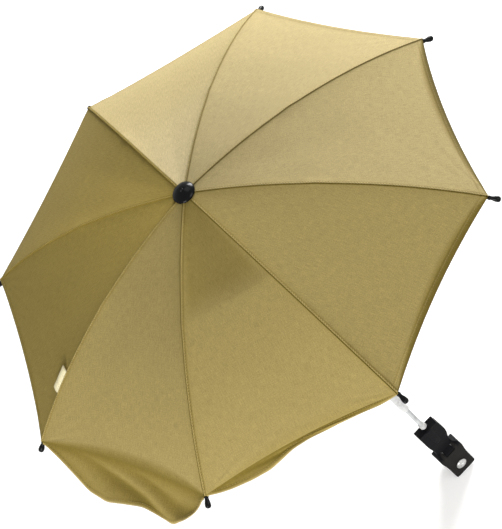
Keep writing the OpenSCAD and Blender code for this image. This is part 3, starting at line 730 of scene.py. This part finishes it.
def gore_grid():
    """Shares along the rib and places across it: even steps, and fixed ones by the rim and the seam."""
    inner = np.linspace(0, 1 - RIM_ZONE / LENGTH, INNER_ROWS)
    s = np.concatenate([inner, 1 - np.array(RIM_ROWS[::-1]) * MM / LENGTH])
    w = half_width(s)[:, None]
    fixed = np.array(SEAM_COLUMNS) * MM
    near = fixed * np.minimum(1, 0.5 * w / fixed[-1])
    far = near[:, -1:] + (w - near[:, -1:]) * np.linspace(0, 1, EVEN_COLUMNS + 1)[1:]
    half = np.concatenate([near, far], 1)
    t = np.concatenate([-half[:, :0:-1], half], 1)
    return np.repeat(s[:, None], t.shape[1], 1), t


def weave_map(k, s, t):
    """Metres across and along the panel that a point belongs to, so that threads follow the cut."""
    right = t >= 0
    y = np.where(right, t - half_width(s), t + half_width(s))
    return np.stack([y + MAP_STEP * np.where(right, k, before(k)), s * LENGTH], -1)


def gore(k):
    """The cloth from the middle of one panel over rib k to the middle of the next."""
    s, t = gore_grid()
    thick = CLOTH_T + HEM_T * hem_step((1 - s) * LENGTH) * by_panel(HEMMED, k, t)
    tone = cloth_tone(k, s, t)
    # pale: the panel's painted sheen, and fuller colour where painted shade darkens the cloth
    pale = by_panel(PAINTED_SHEEN, k, t) - DEEPER * (1 - tone / by_panel(PANEL_LIGHT, k, t))
    return cloth_shell(f"gore_{k}", cloth_at(k, s, t), thick, cloth, weave_map(k, s, t), tone, pale)


gores = {k: gore(k) for k in range(1, RIBS + 1)}
print("gore faces", len(gores[1].data.polygons), "thread pitch in the weave 0.6 mm")

# %% [markdown]
# ## Felled seams
# Two panels are joined along each rib by a felled seam: one edge is folded over the other and sewn down
# twice. It reads as a narrow raised band with a line of painted shade on each side and a painted highlight on
# its top. A bump map would vanish in the outline, so the band is a strip of its own that follows the same
# cloth formula, a little higher. The thread pulls the band in at each stitch, which gives the twisted look of
# a rope, and the painted shade and highlight swell with it.

# %% Seam bands
BAND_H, BAND_T = 0.9 * MM, 0.35 * MM
BAND_FROM, BAND_TO = 13 * MM, 0.4 * MM  # radius where it begins under the cap, and gap to the rim
BAND_ROWS = 420
STITCH = 3.2 * MM
BAND_MM = [-0.45, -0.38, -0.2, 0.02, 0.2, 0.38, 0.6, 0.85, 1.08, 1.3, 1.48, 1.7, 1.92, 2.0]
BAND_RISE = np.array([-0.35, 0.3, 0.78, 0.95, 0.66, 0.92, 1.0, 1.0, 0.92, 0.66, 0.92, 0.75, 0.25, -0.35])
# painted shade at the band's edges and a painted highlight on its top
BAND_SHADING = np.array([0.5, 0.5, 0.58, 0.78, 0.7, 0.95, 1.06, 1.06, 0.98, 0.75, 0.9, 0.8, 0.72, 0.72])


def seam_band(k):
    """A profile across the seam carried along rib k: its height and its painted shade and highlight swell
    with a sine that has one wave a stitch and slants across the band."""
    rows = np.linspace(share_at(BAND_FROM), 1 - BAND_TO / LENGTH, BAND_ROWS)
    s = np.repeat(rows[:, None], len(BAND_MM), 1)
    t = np.array(BAND_MM) * MM * seam_scale(s)
    twist = np.sin(s * LENGTH / STITCH * math.tau + t / MM * 1.5)
    outer = cloth_at(k, s, t, BAND_H * BAND_RISE * (1 + 0.16 * twist))
    # painted shade and highlight that swell with the twist
    tone = BAND_SHADING * (0.92 + 0.4 * twist * SEAM_SHADE_OUT[k])
    pale = by_panel(PAINTED_SHEEN, k, t + 1) + DEEPER * (tone - 1)
    return cloth_shell(f"seam_band_{k}", outer, BAND_T, cloth, weave_map(k, s, t), tone, pale)


bands = {k: seam_band(k) for k in gores}
print("seam band faces", len(bands[1].data.polygons))

# %% [markdown]
# ## Stitches
# Lockstitch shows as short lengths of thread that dive into the cloth at both ends. Each is a small
# closed tube whose middle line bows up between two needle holes. They are worked out all at once: an
# array of stitches by rings by corners.

# %% Rows of stitches
SIDES = 6
FATNESS = np.array([0.35, 0.85, 1.0, 0.85, 0.35])   # the tube's five rings, from end to end


def stitch_mesh(name, start, middle, end, width, tone):
    """Tubes through three points each: rings of six corners, thin at the ends, closed by two quads."""
    line = np.stack([start, start * 0.55 + middle * 0.45, middle, end * 0.55 + middle * 0.45, end], 1)
    along = np.gradient(line, axis=1)
    along /= np.linalg.norm(along, axis=-1, keepdims=True)
    up = (middle - (start + end) / 2)[:, None]
    side = np.cross(along, up / np.maximum(np.linalg.norm(up, axis=-1, keepdims=True), 1e-12))
    side /= np.linalg.norm(side, axis=-1, keepdims=True)
    up = np.cross(side, along)
    angle = np.arange(SIDES)[:, None] * math.tau / SIDES
    ring = side[:, :, None] * np.cos(angle) + up[:, :, None] * np.sin(angle)
    points = line[:, :, None] + ring * (FATNESS * width / 2)[:, None, None]
    corners = SIDES * len(FATNESS)
    tube = grid_faces(len(FATNESS), SIDES, wrap=True)
    first = np.array([[0, 1, 2, 3], [0, 3, 4, 5]])
    last = corners - 1 - np.array([[2, 3, 4, 5], [0, 1, 2, 5]])
    one = np.concatenate([tube[:, ::-1], first, last])
    faces = one + np.arange(len(line))[:, None, None] * corners
    tone = np.repeat(tone, corners)
    return mesh_piece(name, points.reshape(-1, 3), faces.reshape(-1, 4), thread, tone=tone)


# %% Stitches of the seams and hems
SEAM_THREAD, HEM_THREAD = 0.5 * MM, 0.45 * MM        # how thick they are
SEAM_ROWS = [(0.2 * MM, 0.0), (1.3 * MM, 0.5)]       # place across the seam, and shift in stitches
SEAM_BOW = [(0, 0.3), (1.25, 0.95), (2.5, 0.3)]      # mm along the seam, and mm above the cloth
HEM_BOW = [(0, -0.05), (1.2, 0.32), (2.4, -0.05)]
HEM_ROW = 6.4 * MM                     # distance of the hem's stitches from the rim
TIP_GAP = 7 * MM                       # the seam and the tip leave no room for stitches
SEWN_FROM, SEWN_TO = 17 * MM, 3 * MM   # radius of the first stitch, and the last one's from the rim
starts = np.arange(share_at(SEWN_FROM), 1 - SEWN_TO / LENGTH, STITCH / LENGTH)


def seam_stitches(k):
    """Two rows of stitches along the seam of rib k."""
    rows = []
    for place, shift in SEAM_ROWS:
        s = starts + shift * STITCH / LENGTH
        t = place * seam_scale(s)
        rows.append([cloth_at(k, s + step * MM / LENGTH, t, lift * MM) for step, lift in SEAM_BOW])
    ends = [np.concatenate(both) for both in zip(*rows)]
    return stitch_mesh(f"seam_thread_{k}", *ends, SEAM_THREAD, np.full(len(ends[0]), 1.12))


def hem_stitches(k):
    """A row of stitches along the hem of gore k, or nothing where both its panels have a flap."""
    s = 1 - HEM_ROW / LENGTH
    end = half_width(s) - 2 * MM
    t = np.arange(-end, end, STITCH)
    t = t[by_panel(HEMMED, k, t) & (np.abs(t + MM) > TIP_GAP)]
    if not len(t):
        return None
    ends = [cloth_at(k, s, t + step * MM, lift * MM) for step, lift in HEM_BOW]
    # the stitches take on the painted light and shade of the cloth under them
    return stitch_mesh(f"hem_thread_{k}", *ends, HEM_THREAD, 1.1 * cloth_tone(k, s, t))


threads = {k: [seam_stitches(k), hem_stitches(k)] for k in gores}
print("stitches in one seam", len(SEAM_ROWS) * len(starts))
print("gores with a sewn hem", [k for k in threads if threads[k][1]])

# %% [markdown]
# ## The sun flap and the valance
# Two panels carry an extra flap on the side of the low sun: one deep and rounded with a loose wavy
# hem, one narrow. They hang from a crease at the rim. A flap is a grid from the crease to the hem. Its
# depth follows the hem in the photograph, its slope is steep under the crease and eases towards the
# hem, and folds run slanting across it. Each is cut half way and rides with its two ribs.

# %% Flap formula
CREASE_SLOPE, EASED_BY = math.radians(66), math.radians(34)
FLAPS = {
    # panel, height of the folds in mm, then places from rib to rib and the depth in mm at each
    "sun_flap": (
        5, 3.4,
        [0, 0.04, 0.1, 0.17, 0.27, 0.38, 0.47, 0.6, 0.7, 0.79, 0.87, 0.94, 0.975, 1.0],
        [1.5, 8.7, 19, 33, 53, 61, 57, 52, 57, 59, 44, 26, 13, 2],
    ),
    "valance": (
        6, 0.6,
        [0, 0.05, 0.12, 0.22, 0.32, 0.40, 0.46, 0.55, 0.75, 0.9, 0.97, 1.0],
        [1, 6, 11, 15, 16, 12, 8, 6, 6, 5, 3, 1],
    ),
}


def flap_depth(name, v):
    """The flap's depth at v: its points joined by straight lines, then evened out by a running mean."""
    _, _, at, depth = FLAPS[name]
    steps = np.linspace(-0.022, 0.022, 7)
    return sum(np.interp(np.clip(v + step, 0, 1), at, depth) for step in steps) / len(steps) * MM


def flap_slope(q):
    """The flap's slope at share q of its depth."""
    return CREASE_SLOPE - EASED_BY * smooth(q * 1.15)


def run_along(q, part):
    """How far a flap has come at share q, out (part is cosine) or down (part is sine), as a share of its
    depth: the running sum of that part of its slope, by the trapezium rule."""
    fine = np.linspace(0, 1, 33)
    value = part(flap_slope(fine))
    total = np.concatenate([[0], np.cumsum((value[1:] + value[:-1]) / 2)]) / (len(fine) - 1)
    return np.interp(q, fine, total)


def fold_wave(q, v):
    """The folds of a flap, 1 on a ridge and -1 in a valley: bells across a line that slants to the hem."""
    slant = v - 0.6 * (q - 0.5)
    ridges = bump(slant, 0.55, 0.07) + 0.5 * bump(slant, 0.16, 0.1) + 0.6 * bump(slant, 0.9, 0.1)
    return ridges - bump(slant, 0.40, 0.085) - 0.9 * bump(slant, 0.70, 0.085)


def flap_at(name, q, v):
    """Point of a flap: from the rim at v, out and down by share q of its depth, lifted across the sheet
    by the folds, and drawn in a little beside the ribs."""
    k, fold = FLAPS[name][:2]
    t = np.where(v <= 0.5, v, 1 - v) * RIM_W
    rim = np.where((v <= 0.5)[..., None], cloth_at(k, 1.0, t), cloth_at(k % RIBS + 1, 1.0, -t))
    way = (k - 0.5) * STEP
    out = np.array([math.cos(way), math.sin(way), 0])
    sideways = np.array([-math.sin(way), math.cos(way), 0])
    inset = np.sign(0.5 - v) * 2.2 * MM * smooth(q * 6) * smooth(np.abs(0.5 - v) * 10 - 4)
    depth = flap_depth(name, v)
    folds = fold * MM * np.sin(math.pi * v) ** 0.8 * smooth(q * 1.8) * fold_wave(q, v)
    steep = flap_slope(q)
    point = rim + out * (depth * run_along(q, np.cos) + folds * np.sin(steep))[..., None]
    point = point + sideways * inset[..., None]
    point[..., 2] += folds * np.cos(steep) - depth * run_along(q, np.sin)
    return point


print("deepest place of the flap", round(float(flap_depth("sun_flap", np.linspace(0, 1, 99)).max()), 4))

# %% Flap pieces
FLAP_ROWS = [
    0, 0.06, 0.13, 0.2, 0.28, 0.36, 0.45, 0.54, 0.63,
    0.71, 0.78, 0.84, 0.88, 0.91, 0.94, 0.965, 0.985, 1.0,
]
FLAP_COLUMNS = 71
FLAP_HEM, FLAP_HEM_T = 5 * MM, 0.4 * MM              # width of the hem, and what it adds
FLAP_BOW = [(0, 0.0), (1.2, 0.25), (2.4, 0.0)]       # mm along the hem, and mm above the cloth
FLAP_ROW = 4.2 * MM                    # distance of the stitches from the hem
LEAST_CUT = 10 * MM                    # the narrowest cut, which takes in the turned hem


def flap_half(name, half):
    """Half of a flap, 0 or 1, as a closed cloth. Its tone is painted shade: darker all over, in the valleys
    of the folds, under the crease and at the stitches, with painted light on the ridges and a painted
    highlight on the folded edge. Also its cut: width and length, and area."""
    k = FLAPS[name][0]
    v, q = np.meshgrid(np.linspace(half / 2, (half + 1) / 2, FLAP_COLUMNS), FLAP_ROWS)
    depth = flap_depth(name, v)
    deep, edge = q * depth, (1 - q) * depth
    thick = CLOTH_T + FLAP_HEM_T * smooth((FLAP_HEM - edge) / MM)
    uv = np.stack([(v - 0.5) * RIM_W + MAP_STEP * k, LENGTH + deep], -1)
    # painted shade over the whole flap, lighter on the ridges of the folds and darker in their valleys
    tone = 0.73 + 0.2 * fold_wave(q, v) * smooth(q * 2) * np.sin(math.pi * v) ** 0.5
    # painted shade under the crease and at the stitches
    tone = tone - 0.24 * bump(deep, 0, 12 * MM) - 0.16 * bump(edge, 4.3 * MM, 0.8 * MM)
    # painted highlight on the folded edge
    tone = tone + 0.75 * bump(edge, 0, 1.6 * MM)
    outer = flap_at(name, q, v)
    piece = cloth_shell(f"{name}_{half + 1}", outer, thick, cloth, uv, tone, DEEPER * (tone - 1))
    return piece, (RIM_W / 2, max(depth.max(), LEAST_CUT)), depth[0].mean() * RIM_W / 2


def flap_stitches(name, half):
    """A row of stitches along the hem of half a flap, each bowed along the cloth's normal, the cross
    product of two short steps along it and up it."""
    v = np.arange(half / 2 + 0.012, (half + 1) / 2 - 0.012, STITCH / RIM_W)
    q = 1 - FLAP_ROW / np.maximum(flap_depth(name, v), 5 * MM)
    short = 1e-3
    ends = []
    for step, lift in FLAP_BOW:
        on = v + step * MM / RIM_W
        here = flap_at(name, q, on)
        normal = np.cross(flap_at(name, q, on + short) - here, flap_at(name, q - short, on) - here)
        normal /= np.linalg.norm(normal, axis=-1, keepdims=True)
        ends.append(here + normal * lift * MM)
    # the stitches are darkened by the same painted shade as the flap
    return stitch_mesh(f"{name}_thread_{half + 1}", *ends, HEM_THREAD, np.full(len(v), 0.8))


flap_parts = []
for name in FLAPS:
    for half in (0, 1):
        piece, cut, area = flap_half(name, half)
        rib = (FLAPS[name][0] - 1 + half) % RIBS + 1
        flap_parts.append((piece, flap_stitches(name, half), rib, cut, area))
print("flap pieces", [row[0].name for row in flap_parts])

# %% [markdown]
# ## The bare label
# A short ribbon is folded in two and caught in the seam of the fifth rib, so it stands out as a soft
# loop beside it. A flat box would look like card. The ribbon is one strip instead: out along the
# cloth, round the fold and back over itself, a little fuller in the middle. It carries no words.

# %% Label
LABEL_RIB, LABEL_SHARE = 5, 0.757      # which seam, and how far along it
LABEL_L, LABEL_W = 29 * MM, 7 * MM
RIBBON_T = 0.35 * MM
FOLD_R, LOWER, UPPER = 0.55, 0.4, 1.5  # mm: radius of the fold, and height of the two layers
STAND_OFF = 0.45                       # how steeply the ribbon rises from the cloth
bend = np.linspace(-math.pi / 2, math.pi / 2, 9)
go = np.linspace(0, 1, 11)[:-1]
back = 1 - go[1:]
path_t = np.concatenate([-go * LABEL_W, -LABEL_W - FOLD_R * MM * np.cos(bend), -back * LABEL_W, [0.2 * MM]])
path_h = np.concatenate([LOWER + 0 * go, LOWER + FOLD_R * (1 + np.sin(bend)), UPPER + 0 * back, [1.1]]) * MM
over = np.concatenate([0 * go, smooth(bend / math.pi + 0.5), 1 + 0 * back, [1]])   # 1 on the upper layer
along = np.linspace(-1, 1, 41)[:, None] * np.ones(len(path_t))
puff = over * np.sin(math.pi * np.clip(-path_t / LABEL_W, 0, 1)) ** 0.7 * (1 - 0.35 * along**2)
ripple = over * 0.12 * np.sin(along * 7 + path_t / MM * 0.5)
label_s = LABEL_SHARE + along * LABEL_L / 2 / LENGTH
label_t = path_t * (1 - 0.04 * along**6)
label_h = path_h + MM * (puff + ripple) - STAND_OFF * np.minimum(path_t, 0)
label_map = np.stack([np.arange(len(path_t)) * 0.7 * MM + 0 * along, along * LABEL_L / 2], -1)
# painted shade where the ribbon goes into the seam
label_seam_shade = 0.3 * np.exp(-np.abs(path_t) / (0.7 * MM)) * over
# painted shade towards the ribbon's ends, by the seam and on the lower layer under the fold
label_tone = 1.05 - 0.22 * np.abs(along) ** 12 - label_seam_shade - 0.3 * (1 - over)
label_cover = cloth_at(LABEL_RIB, label_s, label_t, label_h)
label = cloth_shell("label_loop", label_cover, RIBBON_T, label_cloth, label_map, label_tone)

# %% [markdown]
# ## Turned plastic: the cap and the tips
# The cap over the crown is a low glossy dome with a nub in a shallow ring, and each rib ends in a
# club-shaped tip. Both are round about an axis, so one function turns a profile of radii and heights
# about a line. The profile is drawn through a few points by a smooth curve, never as straight cones.

# %% Turning a profile


def lathe(name, profile, centre, axis, corners, material):
    """A profile turned about a line: point = centre + h axis + r (u cos a + w sin a). The first and
    last ring are closed by a flat fan of quads."""
    r, h = np.array(profile).T
    axis = np.array(axis, float) / np.linalg.norm(axis)
    u = np.cross(axis, (0.3, 0.5, -0.2))
    u /= np.linalg.norm(u)
    w = np.cross(axis, u)
    angle = np.arange(corners) * math.tau / corners
    ring = u * np.cos(angle)[:, None] + w * np.sin(angle)[:, None]
    points = np.array(centre) + axis * h[:, None, None] + ring[None] * r[:, None, None]
    fan = np.array([(0, i, i + 1, i + 2) for i in range(1, corners - 2, 2)])
    last = (len(r) - 1) * corners
    faces = np.concatenate([grid_faces(len(r), corners, wrap=True), fan[:, ::-1], fan + last])
    return mesh_piece(name, points.reshape(-1, 3), faces, material)


def through(points, count):
    """A smooth curve through the given points: Catmull and Rom's cubic between each pair."""
    p = np.array(points, float)
    p = np.concatenate([2 * p[:1] - p[1:2], p, 2 * p[-1:] - p[-2:-1]])
    f = np.linspace(0, 1, count)[:-1, None]
    parts = []
    for a, b, c, d in zip(p[:-3], p[1:-2], p[2:-1], p[3:]):
        cubic = 2 * b + (c - a) * f + (2 * a - 5 * b + 4 * c - d) * f**2 + (3 * b - a - 3 * c + d) * f**3
        parts.append(0.5 * cubic)
    return np.concatenate(parts + [p[-2:-1]])


# %% The cap
DOME_R, DOME_TOP = 18.7, 8.5           # mm: the sphere that the dome is cut from, and its top
cap_rim = [(0.2, 0.15), (9, 0.15), (13.0, 0.05), (13.7, 0.25), (14.0, 0.9), (14.0, 1.7), (13.85, 2.15)]
dome = [(r, DOME_TOP - DOME_R + math.sqrt(DOME_R**2 - r * r)) for r in (13.4, 12, 10, 8, 6, 4.6, 3.6)]
nub = [(3.2, 7.95), (2.8, 7.95), (2.45, 8.35), (2.2, 9.15), (1.8, 9.45), (1.1, 9.35), (0.15, 9.2)]
cap_profile = np.concatenate([cap_rim, through(dome, 4), nub]) * MM
cap = lathe("cap_dome", cap_profile, (0, 0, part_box("top_cap")[0].z), (0, 0, 1), 64, gloss_black)
print("cap faces", len(cap.data.polygons))

# %% The rib tips
TIP_R = 3.5 * MM                       # the round end
TIP_LEAN = SLOPE_OUT - math.radians(0.35)
CLUB = [
    (0.2, -12.6), (1.8, -12.6), (2.0, -12.2), (2.1, -10.2), (2.6, -9.5), (2.6, -8.0), (2.25, -7.3),
    (2.25, -6.4), (2.5, -5.0), (2.85, -3.6), (3.2, -2.2), (3.42, -0.8), (3.5, 0.4), (3.45, 1.6),
    (3.15, 2.8), (2.5, 3.7), (1.5, 4.3), (0.2, 4.5),
]


def rib_end(k):
    """The club of rib k: the first rib's end, turned about Z to its own."""
    low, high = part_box("tip_1")
    way = (k - 1) * STEP
    ball = turned(np.array([high.x - TIP_R, 0, low.z + TIP_R]), way)
    axis = (math.cos(TIP_LEAN) * math.cos(way), math.cos(TIP_LEAN) * math.sin(way), -math.sin(TIP_LEAN))
    return lathe(f"rib_end_{k}", through(CLUB, 4) * MM, ball, axis, 28, gloss_black)


tips = {k: rib_end(k) for k in gores}
print("tip faces", len(tips[1].data.polygons))

# %% [markdown]
# ## The clamp's bolt
# The polished head of the bolt is the one bright spot on the clamp. Its rim catches the light, so it
# is turned like the cap, from a profile with a groove and a low dome. The thread's ridges are rings,
# because nobody sees whether they climb.

# %% The bolt
BOLT_Z, BOLT_END, FACE = -15 * MM, 27.0, 14.0   # the bolt's height, then its end and the jaw's face in mm
RIDGES, PITCH = 28, 0.5
ridges = [(3.0 if i % 2 else 2.62, -BOLT_END + 0.9 + PITCH * i) for i in range(RIDGES)]
shank = [(0.2, -BOLT_END), (2.1, -BOLT_END), (2.6, -BOLT_END + 0.4)] + ridges + [(3.0, FACE - 0.1)]
head = [
    (7.3, FACE), (7.7, FACE + 0.35), (7.75, 15.1), (7.5, 15.45), (7.1, 15.45), (6.9, 15.1), (6.6, 15.1),
    (6.4, 15.75), (5.6, 16.15), (4.6, 16.5), (3.6, 16.78), (2.9, 16.9), (2.6, 16.85), (2.45, 16.5),
    (2.4, 15.3), (0.2, 15.2),
]
bolt = lathe("bolt_turned", np.array(shank + head) * MM, (0, 0, BOLT_Z), (0, -1, 0), 48, bolt_steel)
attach(bolt, "clamp_bolt")
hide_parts("clamp_bolt")
print("bolt faces", len(bolt.data.polygons))

# %% [markdown]
# ## Eased edges on the moulded and turned parts
# The CAD solids of the mast, the ribs, the runner and the clamp are the right shape already, but their
# corners are knife sharp and their curves are made of flats. A moulded corner always catches a thin
# line of light. So a copy of each is merged from its loose triangles, its flats are joined, it is
# shaded smooth up to a sharp angle, and a Bevel modifier rounds what is left. The copy stands exactly
# where the node is. It could be done in CAD, but there each fillet would cost thousands of faces.

# %% Eased copies
MERGE = 0.004 * MM
FLAT, SHARP = math.radians(0.4), math.radians(32)
SLICE = 1.5                            # mm between the cuts that let a shape swell


def swollen(shape, low, high, swell):
    """The shape cut into slices, with x and y multiplied by two factors that follow height and side."""
    for z in np.arange(low / MM + 1, high / MM - 0.5, SLICE):
        parts = shape.verts[:] + shape.edges[:] + shape.faces[:]
        bmesh.ops.bisect_plane(shape, geom=parts, plane_co=(0, 0, z * MM), plane_no=(0, 0, 1))
    for vert in shape.verts:
        wide, deep = swell(vert.co.z / MM, abs(vert.co.x) / MM)
        vert.co.x, vert.co.y = vert.co.x * wide, vert.co.y * deep


def eased(name, width, swell=None):
    """A merged copy of a CAD node, smooth but for its sharp edges, which a Bevel of a width rounds."""
    shape = bmesh.new()
    shape.from_mesh(frame["nodes"][name].data)
    bmesh.ops.remove_doubles(shape, verts=shape.verts, dist=MERGE)
    bmesh.ops.dissolve_limit(shape, angle_limit=FLAT, verts=shape.verts, edges=shape.edges)
    if swell:
        low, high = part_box(name)
        swollen(shape, low.z, high.z, swell)
    for face in shape.faces:
        face.smooth = True
    for edge in shape.edges:
        edge.smooth = len(edge.link_faces) == 2 and edge.calc_face_angle(0) < SHARP
    data = bpy.data.meshes.new(f"{name}_eased")
    shape.to_mesh(data)
    shape.free()
    made = placed(f"{name}_eased", data)
    if width:
        bevel = made.modifiers.new("eased edges", "BEVEL")
        bevel.width, bevel.segments, bevel.limit_method = width * MM, 2, "ANGLE"
        bevel.angle_limit, bevel.harden_normals, bevel.miter_outer = SHARP, True, "MITER_ARC"
    return made


def jaw_swell(z, x):
    """The jaws' outer sides have round shoulders: wider at the hinge than at either end."""
    outer = smooth((x - 10) / 4)
    return float(1 + outer * (0.12 * bump(z, 17, 13) - 0.3 * smooth((z - 23) / 8) ** 2)), 1.0


def arm_swell(z, x):
    """The socket arm has a waist where it meets the jaws."""
    pinch = bump(z, 38, 13)
    return float(1 - 0.14 * pinch), float(1 - 0.3 * pinch)


# %% [markdown]
# ## Finishes for the frame
# Each part gets the finish of the real one: a white enamelled mast, white joints, plated ribs and
# stretchers, black and grey grained plastic at the clamp, rubber pads in its jaws. One table says it
# for all, because a part that is forgotten would stay the plain colour of its CAD node.

# %% Frame finishes
SWELL = {"front_jaw": jaw_swell, "rear_jaw": jaw_swell, "socket_arm": arm_swell}
FINISH = [
    # finish, slot, edge in mm, nodes
    (enamel, "painted_metal", 0, "upper_mast lower_mast"),
    (steel, "steel", 0, "rib stretcher knuckle_pin hinge_pin crown_ring cap_washer lower_stop catch_spring"),
    (soft_white, "white_plastic", 0.4, "knuckle_lower knuckle_upper mast_collar knuckle_button"),
    (dark_grey, "grey_plastic", 0.8, "front_jaw"),
    (matt_black, "black_plastic", 0.8, "rear_jaw socket_arm"),
    (matt_black, "black_plastic", 0.5, "clamp_knob"),
    (matt_black, "black_plastic", 0.3, "runner crown"),
    (black_rubber, "rubber", 0, "rear_pad front_pad"),
]
CARRIER = {node: body for body, nodes in frame["record"]["behaviour"]["bodies"].items() for node in nodes}


def named_in(name, names):
    """Whether a node is in a list of names, as it stands or without the number at its end."""
    return name in names or (name[-1].isdigit() and name.rsplit("_", 1)[0] in names)


for finish, slot, width, names in FINISH:
    chosen = [name for name in frame["nodes"] if named_in(name, names.split())]
    for name in chosen:
        solid = eased(name, width, SWELL.get(name))
        solid.data.materials.clear()
        solid.data.materials.append(finish)
        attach(solid, CARRIER[name])
        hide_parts(name)
    print(finish.name, len(chosen))

# %% [markdown]
# ## What each piece rides on
# A real canopy is one cloth, but it folds with eight ribs. So each gore, from the middle of one panel to
# the middle of the next, rides on its own rib. The flaps hang from two ribs each, one half on each. The cap
# sits on the mast, and each tip on its rib.


def ride_on_rib(piece, k):
    """The piece moves with rib k: it hangs from the rib's body and gets a mesh of its own."""
    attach(piece, f"rib_{k}")
    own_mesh(piece)


on_gore = {k: [piece for piece in (bands[k], *threads[k]) if piece] for k in gores}
for k in gores:
    for piece in (gores[k], *on_gore[k]):
        ride_on_rib(piece, k)
    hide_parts(f"panel_{k}")
    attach(tips[k], f"rib_{k}")
    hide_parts(f"tip_{k}")
for flap, sewn, k, _, _ in flap_parts:
    ride_on_rib(flap, k)
    ride_on_rib(sewn, k)
ride_on_rib(label, LABEL_RIB)
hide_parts("side_label")
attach(cap, "mast")
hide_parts("top_cap")
print("gores", len(gores), "and what is sewn on each", [len(pieces) for pieces in on_gore.values()])

# %% [markdown]
# ## The cut of each cloth
# A gore is cut as a triangle as wide at the rim as the distance between two rib tips and as long as
# the rib's arc. A flap's cut is its depth at each place along the rim; flap_half works out half a flap's
# width, its greatest depth and its area.

# %% [markdown]
# ## The floor
# A plain pale floor just under the lowest part of the clamp. Seen by the camera it is white paper, and
# it keeps the soft shadow. Its glow is only for what looks at it directly, so it lights nothing. From
# below it is clear, so that the frame under the canopy can be looked at.

# %% Floor
FLOOR_Z = -36 * MM
FLOOR_HALF = 30.0                      # metres, so far out that its edge meets the white background
PAPER = (0.8, 0.8, 0.8, 1)
GLOW_NEAR, GLOW_FAR = 0.37, 1.0        # glow near the object, where it must keep the shadow, and far out
GLOW_SPAN = (0.5, 2.2)                 # metres from the origin, between which the glow grows
floor_mesh = bpy.data.meshes.new("floor")
corners = [(x * FLOOR_HALF, y * FLOOR_HALF, FLOOR_Z) for x, y in ((-1, -1), (1, -1), (1, 1), (-1, 1))]
floor_mesh.from_pydata(corners, [], [(0, 1, 2, 3)])
floor = placed("floor", floor_mesh)
paper, tree, shader = material("pale_paper", Base_Color=PAPER, Roughness=0.9, Emission_Color=WHITE)
where = node(tree, "TexCoord").outputs["Object"]
distance = node(tree, "VectorMath", [(where, 0)], operation="LENGTH").outputs["Value"]
spread = rescaled(tree, distance, GLOW_SPAN, (GLOW_NEAR, GLOW_FAR), interpolation_type="SMOOTHSTEP")
tree.links.new(combined(tree, "MULTIPLY", looked_at(tree), spread), shader.inputs["Emission Strength"])
clear = node(tree, "BsdfTransparent").outputs[0]
under = node(tree, "NewGeometry").outputs["Backfacing"]
two_sided = node(tree, "MixShader", [(under, 0), (shader.outputs[0], 1), (clear, 2)])
tree.links.new(two_sided.outputs[0], tree.nodes["Material Output"].inputs["Surface"])
floor_mesh.materials.append(paper)
print("floor at", round(FLOOR_Z, 4), "half side", FLOOR_HALF)
